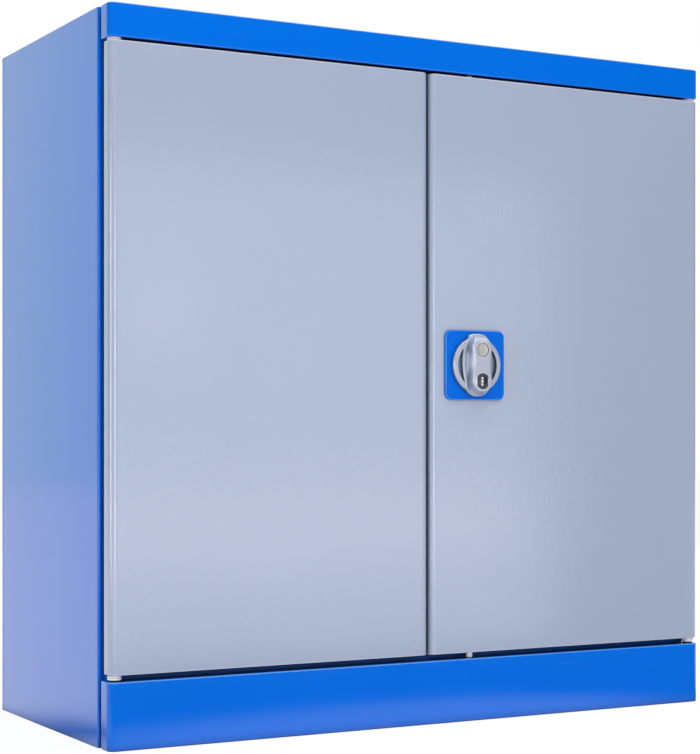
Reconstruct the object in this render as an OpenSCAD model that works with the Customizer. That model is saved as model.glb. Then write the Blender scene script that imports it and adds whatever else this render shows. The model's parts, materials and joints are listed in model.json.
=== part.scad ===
// Two-door sheet steel tool cabinet with a rotary knob lock and bolt rods.
// Millimetres, +Z up, the doors face -Y. The origin is at the base, in the middle of
// the width and of the whole depth from the knob's grip to the back panel.

/* [Cabinet] */
// Overall width
cabinet_w = 800; // [600:10:1200]
// Depth from the door faces to the back
cabinet_d = 350; // [300:10:600]
// Overall height
cabinet_h = 800; // [700:10:1200]
// Thickness of all folded sheet
sheet_t = 1.2; // [0.8:0.1:1.5]
// Height of the fascia over the doors
top_fascia_h = 37; // [32:1:60]
// Height of the fascia under the doors
bottom_fascia_h = 74; // [60:1:100]
// Depth of the fascias' side returns
fascia_d = 24; // [23:1:30]
// Outside radius of the upright edges of fascias and doors
edge_r = 8; // [7:0.5:8]
// Distance from the door faces back to the side panels
side_setback = 32; // [28:1:40]
// Width of the step between a side panel and the front frame
step_w = 8; // [6:0.5:9]

/* [Doors] */
// Thickness of a door, face to back
door_d = 18; // [17:0.5:18.5]
// Gap over the doors
top_gap = 3; // [3:0.5:5]
// Gap under the doors
bottom_gap = 7; // [7:0.5:9]
// Gap between the doors
middle_gap = 3; // [2:0.5:4]
// How far a door's outer edge lies inside the side panel's face
door_inset = 1; // [0.5:0.1:2]
// Width of the lip folded round a door's back
door_lip_w = 15; // [12:1:18]
// Distance of the hinge pins from the cabinet's side
hinge_from_side = 10; // [9.5:0.5:11]
// Distance of the hinge pins behind the door faces
hinge_from_face = 10; // [9:0.5:10]
// Diameter of the hinge pins
hinge_pin_d = 8; // [6:0.5:8]
// Diameter of the hinge washers
washer_d = 15.5; // [14:0.5:16]

/* [Inside] */
// Pitch of the slots in the shelf rails
slot_pitch = 25; // [20:5:50]
// Slot that carries the lower shelf
lower_shelf_slot = 7; // [3:1:10]
// Slot that carries the upper shelf
upper_shelf_slot = 16; // [13:1:22]
// Height of a shelf's folded edge
shelf_edge_h = 25; // [20:1:35]
// Distance between the wall fixing holes across the back
wall_hole_x = 600; // [300:10:600]
// Distance between the wall fixing holes up the back
wall_hole_z = 640; // [400:10:640]
// Diameter of the wall fixing holes
wall_hole_d = 9; // [7:0.5:11]

/* [Knob and lock] */
// Distance of the knob from the middle of the cabinet
knob_x = 61; // [58:1:70]
// Height of the knob
knob_z = 420; // [380:5:440]
// How far the grip stands out from the door
knob_out = 20; // [19:0.5:24]
// Side of the square plate under the knob
plate_w = 82; // [78:1:90]
// Thickness of the plate
plate_t = 3.5; // [3:0.5:4]
// Diameter of the knob's disc
disc_d = 66; // [62:1:68]
// Distance of the lock barrel below the knob's axis
barrel_drop = 19.3; // [19:0.1:20]
// Diameter of the lock barrel
barrel_d = 19; // [18:0.5:19.5]
// Pitch radius of the pinion, and so the rods' travel
pinion_r = 8; // [8:1:8]
// Number of teeth on the pinion
pinion_teeth = 16; // [16:2:16]
// Diameter of the bolt rods
rod_d = 8; // [6:0.5:8]
// Length of the tongue that holds the other door
tongue_l = 72; // [70:1:76]

/* [Hidden] */
$fn = 64;

body_blue = [0.0, 0.42, 0.87];
door_grey = [0.67, 0.71, 0.81];
zinc = [0.74, 0.75, 0.77];
bright_steel = [0.82, 0.83, 0.85];
dark_steel = [0.16, 0.17, 0.19];
rubber_black = [0.06, 0.06, 0.06];
nylon_black = [0.10, 0.10, 0.11];

cut = 1;                            // how far a cutter runs past the face it cuts
half_w = cabinet_w / 2;
origin_y = (cabinet_d - knob_out) / 2;
inner_x = half_w - sheet_t;         // inside face of a side panel
step_x = half_w - step_w;           // outside face of the front frame's step
frame_x = step_x - sheet_t;         // inside face of the step
back_y = cabinet_d - sheet_t;       // inside face of the back panel
top_flange_z = cabinet_h - top_fascia_h;
door_w = half_w - door_inset - middle_gap / 2;
door_bottom = bottom_fascia_h + bottom_gap;
door_top = top_flange_z - top_gap;
door_h = door_top - door_bottom;
door_mid_x = (middle_gap + door_w) / 2;
hinge_x = half_w - hinge_from_side;
bend_r = 2.5;                       // outside radius of the side panels' front bend
flange_w = 20;                      // hidden welding flanges of side panels and base
post_w = 26;                        // front posts' width
post_d = 20;                        // and depth
stop_h = 15;                        // how far the stop rails stand into the opening

floor_z = bottom_fascia_h - sheet_t;     // top face of the floor panel
floor_front_y = 18;                 // leaves room for the pins and the lower rod
deck_wide_y = side_setback + bend_r;     // roof and floor widen behind the bend
deck_rear_y = back_y - sheet_t;
deck_lip_h = 18;                    // their turned-down edges

rail_w = 25;                        // shelf rails: width, depth, wall
rail_d = 10;
rail_t = 1.5;
rail_bottom = floor_z + 12;
rail_top = cabinet_h - 48;
rail_end_min = 20;                  // from the last slot to the rail's end
first_slot_z = 100;
slot_count = floor((rail_top - rail_end_min - first_slot_z) / slot_pitch) + 1;
slot_w = 14;
slot_h = 3;
front_rail_y = 60;
rear_rail_y = cabinet_d - 50;
rail_x = inner_x - rail_d;          // slotted face of a rail
clip_t = 1.5;
clip_w = 12;
clip_in = 3;                        // how far a clip hooks in behind its slot
clip_out = 15;                      // how far it reaches under the shelf
clip_leg_h = 14;
shelf_side_gap = 2.3;
shelf_x = rail_x - shelf_side_gap;  // half the shelf's width
shelf_front_y = 48;
shelf_rear_y = cabinet_d - 8;
shelf_hem_w = 12;
pad_w = 40;                         // reinforcing pads behind the wall holes
pad_t = 2;

pin_clear = 0.05;                   // running clearance of pins in their bushes
bush_wall = 2;
bush_l = 8;
bush_d = hinge_pin_d + 2 * (pin_clear + bush_wall);
bearing_plate_w = 28;
bearing_plate_t = 3;
pin_in = 14;                        // how far a pin reaches into the door
pin_head_d = 12;
pin_head_h = 3;
top_washer_t = 1.6;
top_bush_flange_t = 1;
spacer_h = 2;                       // dark spacer under the lower washer
bottom_washer_t = 2;
bottom_bush_flange_t = 1.85;
bush_shoulder_h = 0.8;
spacer_d = 12;

stiffener_web = 40;                 // hat section: width, feet, gap to the door's lip
stiffener_foot = 15;
stiffener_gap = 1;
bracket_t = 1.7;                    // joggled bracket that the tongue slides up into
bracket_w = 14;
bracket_foot_h = 20;
bracket_clear = 0.6;                // over the tongue
rivet_d = 4;
rivet_head_d = 7;
rivet_head_h = 1.2;
rivet_heights = [16, 25];           // above the knob's axis
buffer_gap = 0.5;                   // between a buffer and the closed door
buffer_nose_d = 7;
buffer_foot_d = 9;
buffer_foot_h = 1.5;
buffer_from_edge = 7;               // from a stop rail's free edge to the buffer's axis
buffer_x = 30;

rod_y = 10;                         // the rods' axis behind the door faces
rod_clear = 0.05;
rod_hole_d = rod_d + 2;
rod_tip_gap = 0.6;                  // a drawn rod ends this far from the fascia
keeper_t = 3;                       // reinforcing plates that the rods shoot into
keeper_w = 40;
keeper_d = 16.5;
guide_w = 20;
guide_h = 10;
guide_d = 14.8;
guide_heights = [105, 250, 600, 735];

plate_corner_r = 8;
plate_bevel = 1;
disc_back = plate_t + 0.3;          // knob depths, measured out from the door face
disc_front = plate_t + 5;
rim_w = 5.8;
crescent_x = 21.5;
crescent_t = 3;
hub_d = 24;
hub_clear = 0.05;                   // running clearance in the plate
hub_back = 6;                       // hub's end behind the door face
grip_bevel = 1;
grip_half_w = 13;
grip_top_z = 33;
grip_corner = [4, 9];               // width and height cut off the face's upper corners
cap_z = 17.5;
cap_d = 17;
cap_recess = 0.8;
cap_in = 0.2;
ring_in_d = 25;                     // notched ring that the plug's cam locks into
ring_out_d = 31;
ring_h = 3.5;
ring_base_t = 1;
pocket_h = 3.6;                     // room for the ring in the disc's back
pocket_clear = 0.7;
join = 0.1;                         // overlap of cutters that meet
barrel_front = knob_out - 0.2;
barrel_back = disc_back + pocket_h;
barrel_rim_w = 1.5;
barrel_face_in = 0.8;
plug_d = 12;
plug_clear = 0.05;
plug_face_in = 0.4;
keyway_end = 2;
cam_sweep_r = 8.3;                  // cam at the plug's rear: bar, neck and gap
cam_l = 7.5;
cam_w = 4;
cam_t = 2.6;
cam_neck_d = 7;
cam_gap = 0.3;
spindle_w = 8;
spindle_front = disc_back + 2;
keyway = [1.4, 7.5];
keyway_rib = [2.1, 1.6];
keyway_rib_z = 1;
pinion_y = [7.5, 12.5];
pinion_boss_y = [6, 14];
pinion_boss_d = 13;
tongue_y = [20, 22.5];
tongue_w = 16;
tongue_eye_d = 24;
tongue_clear = 0.3;
tongue_washer_d = 15;
tongue_washer_t = 1.2;
tongue_screw_d = 9;
tongue_screw_h = 3;
socket_w = 4.6;                     // its hexagon socket
socket_depth = 1.6;
case_back_y = 19.5;
case_w = 48;
case_h = 76;
case_wall = 1.5;
case_eye_d = 12;                    // hole for the spindle
case_flange_w = 68;
case_screw_x = 29;
case_screw_z = 30;
case_screw_d = 4;
screw_head_d = 8;
screw_head_h = 2.4;
screw_slot_w = 1;
rack_t = 4;
rack_bar = 4.4;                     // rack's width behind the teeth
rack_teeth = 11;
rack_teeth_up = 4;                  // teeth above the pinion's axis at rest
lug_z = 11;
lug_h = 6;

tooth_pitch = PI * 2 * pinion_r / pinion_teeth;
tooth_out = 0.8;                    // tooth height outside the pitch circle
tooth_in = 1.1;                     // and inside it
pressure_angle = 20;
backlash = 0.12;
tooth_thick = tooth_pitch / 2 - backlash;
flank_radii = [pinion_r - tooth_in, pinion_r * cos(pressure_angle), pinion_r - 0.2,
               pinion_r + 0.3, pinion_r + tooth_out];

// Moves the cabinet from its front plane to the origin
module placed() translate([0, -origin_y, 0]) children();

module mirrored() mirror([1, 0, 0]) children();

// Draws a child and its mirror image on the other side
module both_sides() {
    children();
    mirror([1, 0, 0]) children();
}

// Extrudes an outline drawn in X and Z from depth y0 to depth y1
module across(y0, y1)
    translate([0, y1, 0]) rotate([90, 0, 0]) linear_extrude(y1 - y0) children();

// Plan of a folded front with both upright edges rounded
module front_outline(w, d, r) {
    for (side = [-1, 1]) translate([side * (w / 2 - r), r]) circle(r);
    translate([-w / 2 + r, 0]) square([w - 2 * r, d]);
    translate([-w / 2, r]) square([w, d - r]);
}

module rounded_square(w, r) {
    square([w, w - 2 * r], center = true);
    square([w - 2 * r, w], center = true);
    for (sx = [-1, 1], sy = [-1, 1]) translate([sx, sy] * (w / 2 - r)) circle(r);
}

// ---- body ----

module side_panel_plan() {
    translate([-half_w + bend_r, side_setback + bend_r]) intersection() {
        difference() {
            circle(bend_r);
            circle(bend_r - sheet_t);
        }
        translate([-bend_r, -bend_r]) square(bend_r);
    }
    translate([-half_w, side_setback + bend_r])
        square([sheet_t, back_y - side_setback - bend_r]);
    translate([-half_w + bend_r, side_setback]) square([step_w - bend_r + sheet_t, sheet_t]);
    translate([-step_x, fascia_d]) square([sheet_t, side_setback - fascia_d + sheet_t]);
    translate([-half_w, back_y - sheet_t]) square([flange_w, sheet_t]);
}

module side_panel() {
    linear_extrude(cabinet_h) side_panel_plan();
    translate([-half_w, side_setback + bend_r, 0])
        cube([flange_w, back_y - side_setback - bend_r, sheet_t]);
}

module left_side_panel() color(body_blue) placed() side_panel();

module right_side_panel() color(body_blue) placed() mirrored() side_panel();

module back_panel() color(body_blue) placed() difference() {
    translate([-half_w, back_y, 0]) cube([cabinet_w, sheet_t, cabinet_h]);
    wall_holes();
}

module wall_holes()
    for (sx = [-1, 1], sz = [-1, 1])
        translate([sx * wall_hole_x / 2, back_y - pad_t - cut, knob_z + sz * wall_hole_z / 2])
            rotate([-90, 0, 0]) cylinder(h = sheet_t + pad_t + 2 * cut, d = wall_hole_d);

module wall_fixing_pads() color(body_blue) placed() difference() {
    for (sx = [-1, 1], sz = [-1, 1])
        translate([sx * wall_hole_x / 2 - pad_w / 2, back_y - pad_t,
                   knob_z + sz * wall_hole_z / 2 - pad_w / 2])
            cube([pad_w, pad_t, pad_w]);
    wall_holes();
}

// Plate with turned-down edges between the side panels; its narrow front starts at front_y
module deck(front_y, z) {
    lip_l = deck_rear_y - deck_wide_y;
    lip_z = z + sheet_t - deck_lip_h;
    translate([-frame_x, front_y, z]) cube([2 * frame_x, deck_wide_y - front_y, sheet_t]);
    translate([-inner_x, deck_wide_y, z]) cube([2 * inner_x, lip_l, sheet_t]);
    both_sides() translate([-inner_x, deck_wide_y, lip_z]) cube([sheet_t, lip_l, deck_lip_h]);
    translate([-half_w + flange_w, deck_rear_y, lip_z])
        cube([cabinet_w - 2 * flange_w, sheet_t, deck_lip_h]);
}

module roof_panel() color(body_blue) placed() deck(fascia_d, cabinet_h - sheet_t);

module floor_panel() color(body_blue) placed() deck(floor_front_y, floor_z - sheet_t);

// Folded front with side returns, flanges at its top and bottom and a lip behind each side
module fascia(h) {
    difference() {
        linear_extrude(h) front_outline(cabinet_w, fascia_d, edge_r);
        translate([0, sheet_t, sheet_t]) linear_extrude(h - 2 * sheet_t)
            front_outline(cabinet_w - 2 * sheet_t, fascia_d - sheet_t + cut, edge_r - sheet_t);
    }
    both_sides() translate([-inner_x, fascia_d - sheet_t, sheet_t])
        cube([step_w, sheet_t, h - 2 * sheet_t]);
}

// Holes in the flange that starts at height z: two for hinge pins, one for a rod
module flange_holes(z) {
    both_sides() translate([-hinge_x, hinge_from_face, z - cut])
        cylinder(h = sheet_t + 2 * cut, d = hinge_pin_d);
    translate([knob_x, rod_y, z - cut]) cylinder(h = sheet_t + 2 * cut, d = rod_hole_d);
}

module top_fascia() color(body_blue) placed() difference() {
    translate([0, 0, top_flange_z]) fascia(top_fascia_h);
    flange_holes(top_flange_z);
}

module bottom_fascia() color(body_blue) placed() difference() {
    fascia(bottom_fascia_h);
    flange_holes(floor_z);
}

// Channel between the floor and the roof, open to the back
module front_post() {
    post_h = cabinet_h - sheet_t - floor_z;
    difference() {
        translate([-frame_x, fascia_d, floor_z]) cube([post_w, post_d, post_h]);
        translate([-frame_x + sheet_t, fascia_d + sheet_t, floor_z - cut])
            cube([post_w - 2 * sheet_t, post_d, post_h + 2 * cut]);
    }
}

module left_front_post() color(body_blue) placed() front_post();

module right_front_post() color(body_blue) placed() mirrored() front_post();

// Angle between the front posts that the doors close against: a leg and a foot
module stop_rail(leg_h) {
    rail_l = 2 * (frame_x - post_w);
    translate([-rail_l / 2, fascia_d, 0]) cube([rail_l, sheet_t, leg_h]);
    translate([-rail_l / 2, fascia_d, 0]) cube([rail_l, post_d, sheet_t]);
}

module bottom_stop_rail() color(body_blue) placed()
    translate([0, 0, floor_z]) stop_rail(stop_h);

// Closes the top fascia's back, up to the roof
module top_stop_rail() color(body_blue) placed()
    translate([0, 0, top_flange_z - stop_h])
        stop_rail(top_fascia_h + stop_h - sheet_t);

// ---- shelves ----

function slot_z(i) = first_slot_z + i * slot_pitch;

// Slotted channel on the left side panel
module shelf_rail(y) difference() {
    translate([-inner_x, y, rail_bottom]) cube([rail_d, rail_w, rail_top - rail_bottom]);
    translate([-inner_x - cut, y + rail_t, rail_bottom - cut])
        cube([rail_d - rail_t + cut, rail_w - 2 * rail_t, rail_top - rail_bottom + 2 * cut]);
    for (i = [0 : slot_count - 1])
        translate([-rail_x - rail_t - cut, y + (rail_w - slot_w) / 2, slot_z(i)])
            cube([rail_t + 2 * cut, slot_w, slot_h]);
}

module left_front_shelf_rail() color(zinc) placed() shelf_rail(front_rail_y);

module right_front_shelf_rail() color(zinc) placed() mirrored() shelf_rail(front_rail_y);

module left_rear_shelf_rail() color(zinc) placed() shelf_rail(rear_rail_y);

module right_rear_shelf_rail() color(zinc) placed() mirrored() shelf_rail(rear_rail_y);

// Tray with folded edges, resting on the clips of slot i
module shelf(i) {
    bottom = slot_z(i) + clip_t;
    depth = shelf_rear_y - shelf_front_y;
    translate([-shelf_x, shelf_front_y, bottom]) difference() {
        cube([2 * shelf_x, depth, shelf_edge_h]);
        translate([sheet_t, sheet_t, sheet_t])
            cube([2 * (shelf_x - sheet_t), depth - 2 * sheet_t, shelf_edge_h - 2 * sheet_t]);
        translate([sheet_t, shelf_hem_w, -cut])
            cube([2 * (shelf_x - sheet_t), depth - 2 * shelf_hem_w, sheet_t + 2 * cut]);
    }
}

module lower_shelf() color(body_blue) placed() shelf(lower_shelf_slot);

module upper_shelf() color(body_blue) placed() shelf(upper_shelf_slot);

module shelf_clip(y, i) translate([-rail_x, y + (rail_w - clip_w) / 2, slot_z(i)]) {
    translate([-rail_t - clip_in, 0, 0]) cube([rail_t + clip_in + clip_out, clip_w, clip_t]);
    translate([0, 0, -clip_leg_h]) cube([clip_t, clip_w, clip_leg_h]);
}

module shelf_clips() color(zinc) placed()
    for (i = [lower_shelf_slot, upper_shelf_slot], y = [front_rail_y, rear_rail_y])
        both_sides() shelf_clip(y, i);

// ---- hinges ----

module at_hinge(z) translate([-hinge_x, hinge_from_face, z]) children();

// A pin runs from its head inside the fascia down or up into the door
module hinge_pin_set() {
    at_hinge(door_top - pin_in)
        cylinder(h = top_flange_z + sheet_t + pin_head_h - door_top + pin_in, d = hinge_pin_d);
    at_hinge(top_flange_z + sheet_t) cylinder(h = pin_head_h, d = pin_head_d);
    at_hinge(floor_z - pin_head_h)
        cylinder(h = door_bottom + pin_in - floor_z + pin_head_h, d = hinge_pin_d);
    at_hinge(floor_z - pin_head_h) cylinder(h = pin_head_h, d = pin_head_d);
}

module hinge_pins() color(bright_steel) placed() both_sides() hinge_pin_set();

module pin_ring(z, h, d) at_hinge(z) difference() {
    cylinder(h = h, d = d);
    translate([0, 0, -cut]) cylinder(h = h + 2 * cut, d = hinge_pin_d);
}

module hinge_washers() color(bright_steel) placed() both_sides() {
    pin_ring(top_flange_z - top_washer_t, top_washer_t, washer_d);
    pin_ring(bottom_fascia_h + spacer_h, bottom_washer_t, washer_d);
}

module hinge_spacers() color(nylon_black) placed() both_sides()
    pin_ring(bottom_fascia_h, spacer_h, spacer_d);

// Flanged bushes of the left door, which turn on the pins
module door_bush_set() {
    lowest = door_bottom - bush_shoulder_h - bottom_bush_flange_t;
    at_hinge(0) difference() {
        union() {
            translate([0, 0, door_top - bush_l]) cylinder(h = bush_l, d = bush_d);
            translate([0, 0, door_top]) cylinder(h = top_bush_flange_t, d = washer_d);
        }
        translate([0, 0, door_top - bush_l - cut])
            cylinder(h = bush_l + top_bush_flange_t + 2 * cut, d = hinge_pin_d + 2 * pin_clear);
    }
    at_hinge(0) difference() {
        union() {
            translate([0, 0, lowest]) cylinder(h = bottom_bush_flange_t, d = washer_d);
            translate([0, 0, lowest]) cylinder(h = door_bottom + bush_l - lowest, d = bush_d);
        }
        translate([0, 0, lowest - cut])
            cylinder(h = door_bottom + bush_l - lowest + 2 * cut, d = hinge_pin_d + 2 * pin_clear);
    }
}

module left_door_bushes() color(bright_steel) placed() door_bush_set();

module right_door_bushes() color(bright_steel) placed() mirrored() door_bush_set();

module bearing_plate(z) difference() {
    translate([0, 0, z]) linear_extrude(bearing_plate_t) intersection() {
        translate([-door_mid_x, sheet_t])
            front_outline(door_w - 2 * sheet_t, door_d - 2 * sheet_t, edge_r - sheet_t);
        translate([-half_w, 0]) square([bearing_plate_w, door_d]);
    }
    at_hinge(z - cut) cylinder(h = bearing_plate_t + 2 * cut, d = bush_d);
}

module bearing_plate_pair() {
    bearing_plate(door_bottom + sheet_t);
    bearing_plate(door_top - sheet_t - bearing_plate_t);
}

module left_door_bearing_plates() color(zinc) placed() bearing_plate_pair();

module right_door_bearing_plates() color(zinc) placed() mirrored() bearing_plate_pair();

// ---- doors ----

// Folded door tray of the left door, with a lip all round its back
module door_tray() difference() {
    translate([-door_mid_x, 0, door_bottom]) linear_extrude(door_h)
        front_outline(door_w, door_d, edge_r);
    translate([-door_mid_x, sheet_t, door_bottom + sheet_t])
        linear_extrude(door_h - 2 * sheet_t)
            front_outline(door_w - 2 * sheet_t, door_d - 2 * sheet_t, edge_r - sheet_t);
    translate([-door_mid_x - door_w / 2 + door_lip_w, door_d - sheet_t - cut,
               door_bottom + door_lip_w])
        cube([door_w - 2 * door_lip_w, sheet_t + 2 * cut, door_h - 2 * door_lip_w]);
    at_hinge(door_bottom - cut) cylinder(h = door_h + 2 * cut, d = bush_d);
}

// Hat section behind the left door's face
module door_stiffener() {
    rise = door_d - 2 * sheet_t - stiffener_gap;
    inner = stiffener_web / 2;
    outer = inner + sheet_t;
    foot = inner + stiffener_foot;
    plan = [[-foot, 0], [-inner, 0], [-inner, rise - sheet_t], [inner, rise - sheet_t],
            [inner, 0], [foot, 0], [foot, sheet_t], [outer, sheet_t],
            [outer, rise], [-outer, rise], [-outer, sheet_t], [-foot, sheet_t]];
    translate([-door_mid_x, sheet_t, door_bottom + door_lip_w])
        linear_extrude(door_h - 2 * door_lip_w) polygon(plan);
}

module left_door_skin() color(door_grey) placed() difference() {
    door_tray();
    at_bracket_rivets() turned(door_d - sheet_t - cut, door_d + cut, rivet_d);
}

module left_door_stiffener() color(door_grey) placed() door_stiffener();

module right_door_skin() color(door_grey) placed() difference() {
    mirrored() door_tray();
    at_knob() turned(-cut, sheet_t + cut, hub_d + 1);
    translate([knob_x, rod_y, door_bottom - cut])
        cylinder(h = sheet_t + 2 * cut, d = rod_hole_d);
    translate([knob_x, rod_y, door_top - sheet_t - cut])
        cylinder(h = sheet_t + 2 * cut, d = rod_hole_d);
}

module right_door_stiffener() color(door_grey) placed() mirrored() door_stiffener();

module at_bracket_rivets()
    for (z = rivet_heights)
        translate([-(middle_gap + door_lip_w) / 2, 0, knob_z + z]) children();

// Foot on the left door's lip, step over the tongue and an arm down behind the tongue
module tongue_keeper() color(zinc) placed() difference() {
    step_z = tongue_w / 2 + bracket_clear;
    arm_y = tongue_y[1] + tongue_clear;
    profile = [[door_d, step_z], [door_d, step_z + bracket_foot_h],
               [door_d + bracket_t, step_z + bracket_foot_h],
               [door_d + bracket_t, step_z + bracket_t],
               [arm_y + bracket_t, step_z + bracket_t],
               [arm_y + bracket_t, -tongue_w / 2], [arm_y, -tongue_w / 2],
               [arm_y, step_z]];
    translate([-middle_gap / 2 - door_lip_w, 0, knob_z]) rotate([90, 0, 90])
        linear_extrude(bracket_w) polygon(profile);
    at_bracket_rivets() turned(door_d - cut, door_d + bracket_t + cut, rivet_d);
}

// One head inside the door, one on the bracket's foot
module tongue_keeper_rivets() color(bright_steel) placed() at_bracket_rivets() {
    lip_y = door_d - sheet_t;
    foot_y = door_d + bracket_t;
    turned(lip_y, foot_y, rivet_d);
    turned(lip_y - rivet_head_h, lip_y, rivet_head_d);
    turned(foot_y, foot_y + rivet_head_h, rivet_head_d);
}

// Plate inside a fascia, against its flange, that a bolt rod shoots into
module rod_keeper(z) difference() {
    translate([knob_x - keeper_w / 2, sheet_t, z]) cube([keeper_w, keeper_d, keeper_t]);
    translate([knob_x, rod_y, z - cut]) cylinder(h = keeper_t + 2 * cut, d = rod_hole_d);
}

module top_rod_keeper() color(zinc) placed() rod_keeper(top_flange_z + sheet_t);

module bottom_rod_keeper() color(zinc) placed() rod_keeper(floor_z - keeper_t);

module door_buffers() color(rubber_black) placed() {
    lower_z = floor_z + stop_h - buffer_from_edge;
    upper_z = top_flange_z - stop_h + buffer_from_edge;
    for (x = [-buffer_x, buffer_x], z = [lower_z, upper_z]) translate([x, 0, z]) {
        turned(door_d + buffer_gap, fascia_d, buffer_nose_d);
        turned(fascia_d - buffer_foot_h, fascia_d, buffer_foot_d);
    }
}

// ---- lock ----

module at_knob() translate([knob_x, 0, knob_z]) children();

// Turned shape on the knob's axis from depth y0 to y1, behind the door face if positive
module turned(y0, y1, d)
    translate([0, y0, 0]) rotate([-90, 0, 0]) cylinder(h = y1 - y0, d = d);

module at_barrel() translate([0, 0, -barrel_drop]) children();

module lock_plate() color(body_blue) placed() at_knob() difference() {
    hull() {
        across(-plate_t + plate_bevel, 0) rounded_square(plate_w, plate_corner_r, $fn = 32);
        across(-plate_t, 0)
            rounded_square(plate_w - 2 * plate_bevel, plate_corner_r - plate_bevel, $fn = 32);
    }
    turned(-plate_t - cut, cut, hub_d + 2 * hub_clear);
}

// The cam drops into one of two notches, a quarter turn apart
module lock_ring() color(zinc) placed() at_knob() difference() {
    turned(-plate_t - ring_h, -plate_t, ring_out_d);
    turned(-plate_t - ring_h - cut, -plate_t + cut, ring_in_d);
    for (turn = [0, 90]) rotate([0, turn, 0]) at_barrel()
        turned(-plate_t - ring_h - cut, -plate_t - ring_base_t, 2 * cam_sweep_r);
}

module grip_base_outline()
    polygon([[-11, 36.8], [11, 36.8], [17.5, 22], [20.2, 4], [16.5, -30], [9.5, -35.6],
             [0, -37.3], [-9.5, -35.6], [-16.5, -30], [-20.2, 4], [-17.5, 22]]);

module grip_face_outline(inset) {
    half = grip_half_w - inset;
    top = grip_top_z - inset;
    translate([0, -barrel_drop]) circle(half, $fn = 48);
    polygon([[-half, -barrel_drop], [half, -barrel_drop], [half, top - grip_corner[1]],
             [half - grip_corner[0], top], [-half + grip_corner[0], top],
             [-half, top - grip_corner[1]]]);
}

module grip_body() hull() {
    across(-disc_front, -disc_front + 0.5) grip_base_outline();
    across(-knob_out + grip_bevel, -disc_front) grip_face_outline(0);
    across(-knob_out, -disc_front) grip_face_outline(grip_bevel);
}

module crescents() across(-disc_front - cut, -disc_front + crescent_t) difference() {
    circle(disc_d / 2 - rim_w);
    square([2 * crescent_x, disc_d], center = true);
}

module knob() color(zinc) placed() at_knob() difference() {
    union() {
        difference() {
            union() {
                turned(-disc_front, -disc_back, disc_d);
                grip_body();
            }
            crescents();
            turned(-barrel_back, -disc_back + cut, ring_out_d + 2 * pocket_clear);
        }
        turned(-barrel_back - join, hub_back, hub_d);
    }
    at_barrel() turned(-knob_out - cut, -barrel_back + join, barrel_d);
    at_barrel() turned(-barrel_back, -disc_back + cut, 2 * cam_sweep_r);
    translate([0, 0, cap_z]) turned(-knob_out - cut, -knob_out + cap_recess, cap_d);
    across(-spindle_front, hub_back + cut) square(spindle_w, center = true);
}

module knob_cap() color(bright_steel) placed() at_knob() translate([0, 0, cap_z])
    turned(-knob_out + cap_in, -knob_out + cap_recess, cap_d - 2 * cap_in);

module lock_barrel() color(bright_steel) placed() at_knob() at_barrel() difference() {
    turned(-barrel_front, -barrel_back, barrel_d);
    turned(-barrel_front - cut, -barrel_back + cut, plug_d + 2 * plug_clear);
    turned(-barrel_front - cut, -barrel_front + barrel_face_in, barrel_d - 2 * barrel_rim_w);
}

module lock_plug() color(dark_steel) placed() at_knob() at_barrel() difference() {
    turned(-barrel_front + plug_face_in, -barrel_back, plug_d);
    across(-barrel_front - cut, -barrel_back - keyway_end) {
        square(keyway, center = true);
        translate([0, keyway_rib_z]) square(keyway_rib);
    }
}

module plug_cam() color(zinc) placed() at_knob() at_barrel() {
    turned(-barrel_back, -barrel_back + cam_t, cam_neck_d);
    across(-barrel_back + cam_gap, -barrel_back + cam_t)
        translate([-cam_l, -cam_w / 2]) square([cam_l, cam_w]);
}

module spindle() color(bright_steel) placed() at_knob()
    across(-spindle_front, tongue_y[1]) square(spindle_w, center = true);

function involute(a) = tan(a) * 180 / PI - a;

// Half a tooth's angle at radius r, on a pinion with involute flanks
function tooth_half_angle(r) =
    let (base_r = pinion_r * cos(pressure_angle))
    tooth_thick / 2 / pinion_r * 180 / PI + involute(pressure_angle)
        - involute(acos(min(1, base_r / r)));

function on_circle(r, a) = [r * cos(a), r * sin(a)];

module pinion_outline() polygon([
    for (i = [0 : pinion_teeth - 1]) each let (a = i * 360 / pinion_teeth) concat(
        [for (r = flank_radii) on_circle(r, a - tooth_half_angle(r))],
        [for (k = [len(flank_radii) - 1 : -1 : 0])
            on_circle(flank_radii[k], a + tooth_half_angle(flank_radii[k]))])
]);

module pinion() color(zinc) placed() at_knob() difference() {
    union() {
        across(pinion_y[0], pinion_y[1]) pinion_outline();
        turned(pinion_boss_y[0], pinion_boss_y[1], pinion_boss_d);
    }
    across(pinion_boss_y[0] - cut, pinion_boss_y[1] + cut)
        square(spindle_w, center = true);
}

module tongue() color(zinc) placed() at_knob() difference() {
    across(tongue_y[0], tongue_y[1]) {
        circle(d = tongue_eye_d);
        translate([-tongue_w / 2, -tongue_l + tongue_w / 2])
            square([tongue_w, tongue_l - tongue_w / 2]);
        translate([0, -tongue_l + tongue_w / 2]) circle(d = tongue_w);
    }
    across(tongue_y[0] - cut, tongue_y[1] + cut) square(spindle_w, center = true);
}

module tongue_screw() color(bright_steel) placed() at_knob() {
    head_y = tongue_y[1] + tongue_washer_t;
    end_y = head_y + tongue_screw_h;
    turned(tongue_y[1], head_y, tongue_washer_d);
    difference() {
        turned(head_y, end_y, tongue_screw_d);
        turned(end_y - socket_depth, end_y + cut, socket_w, $fn = 6);
    }
}

module at_case_screws()
    for (sx = [-1, 1], sz = [-1, 1])
        translate([sx * case_screw_x, 0, sz * case_screw_z]) children();

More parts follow.
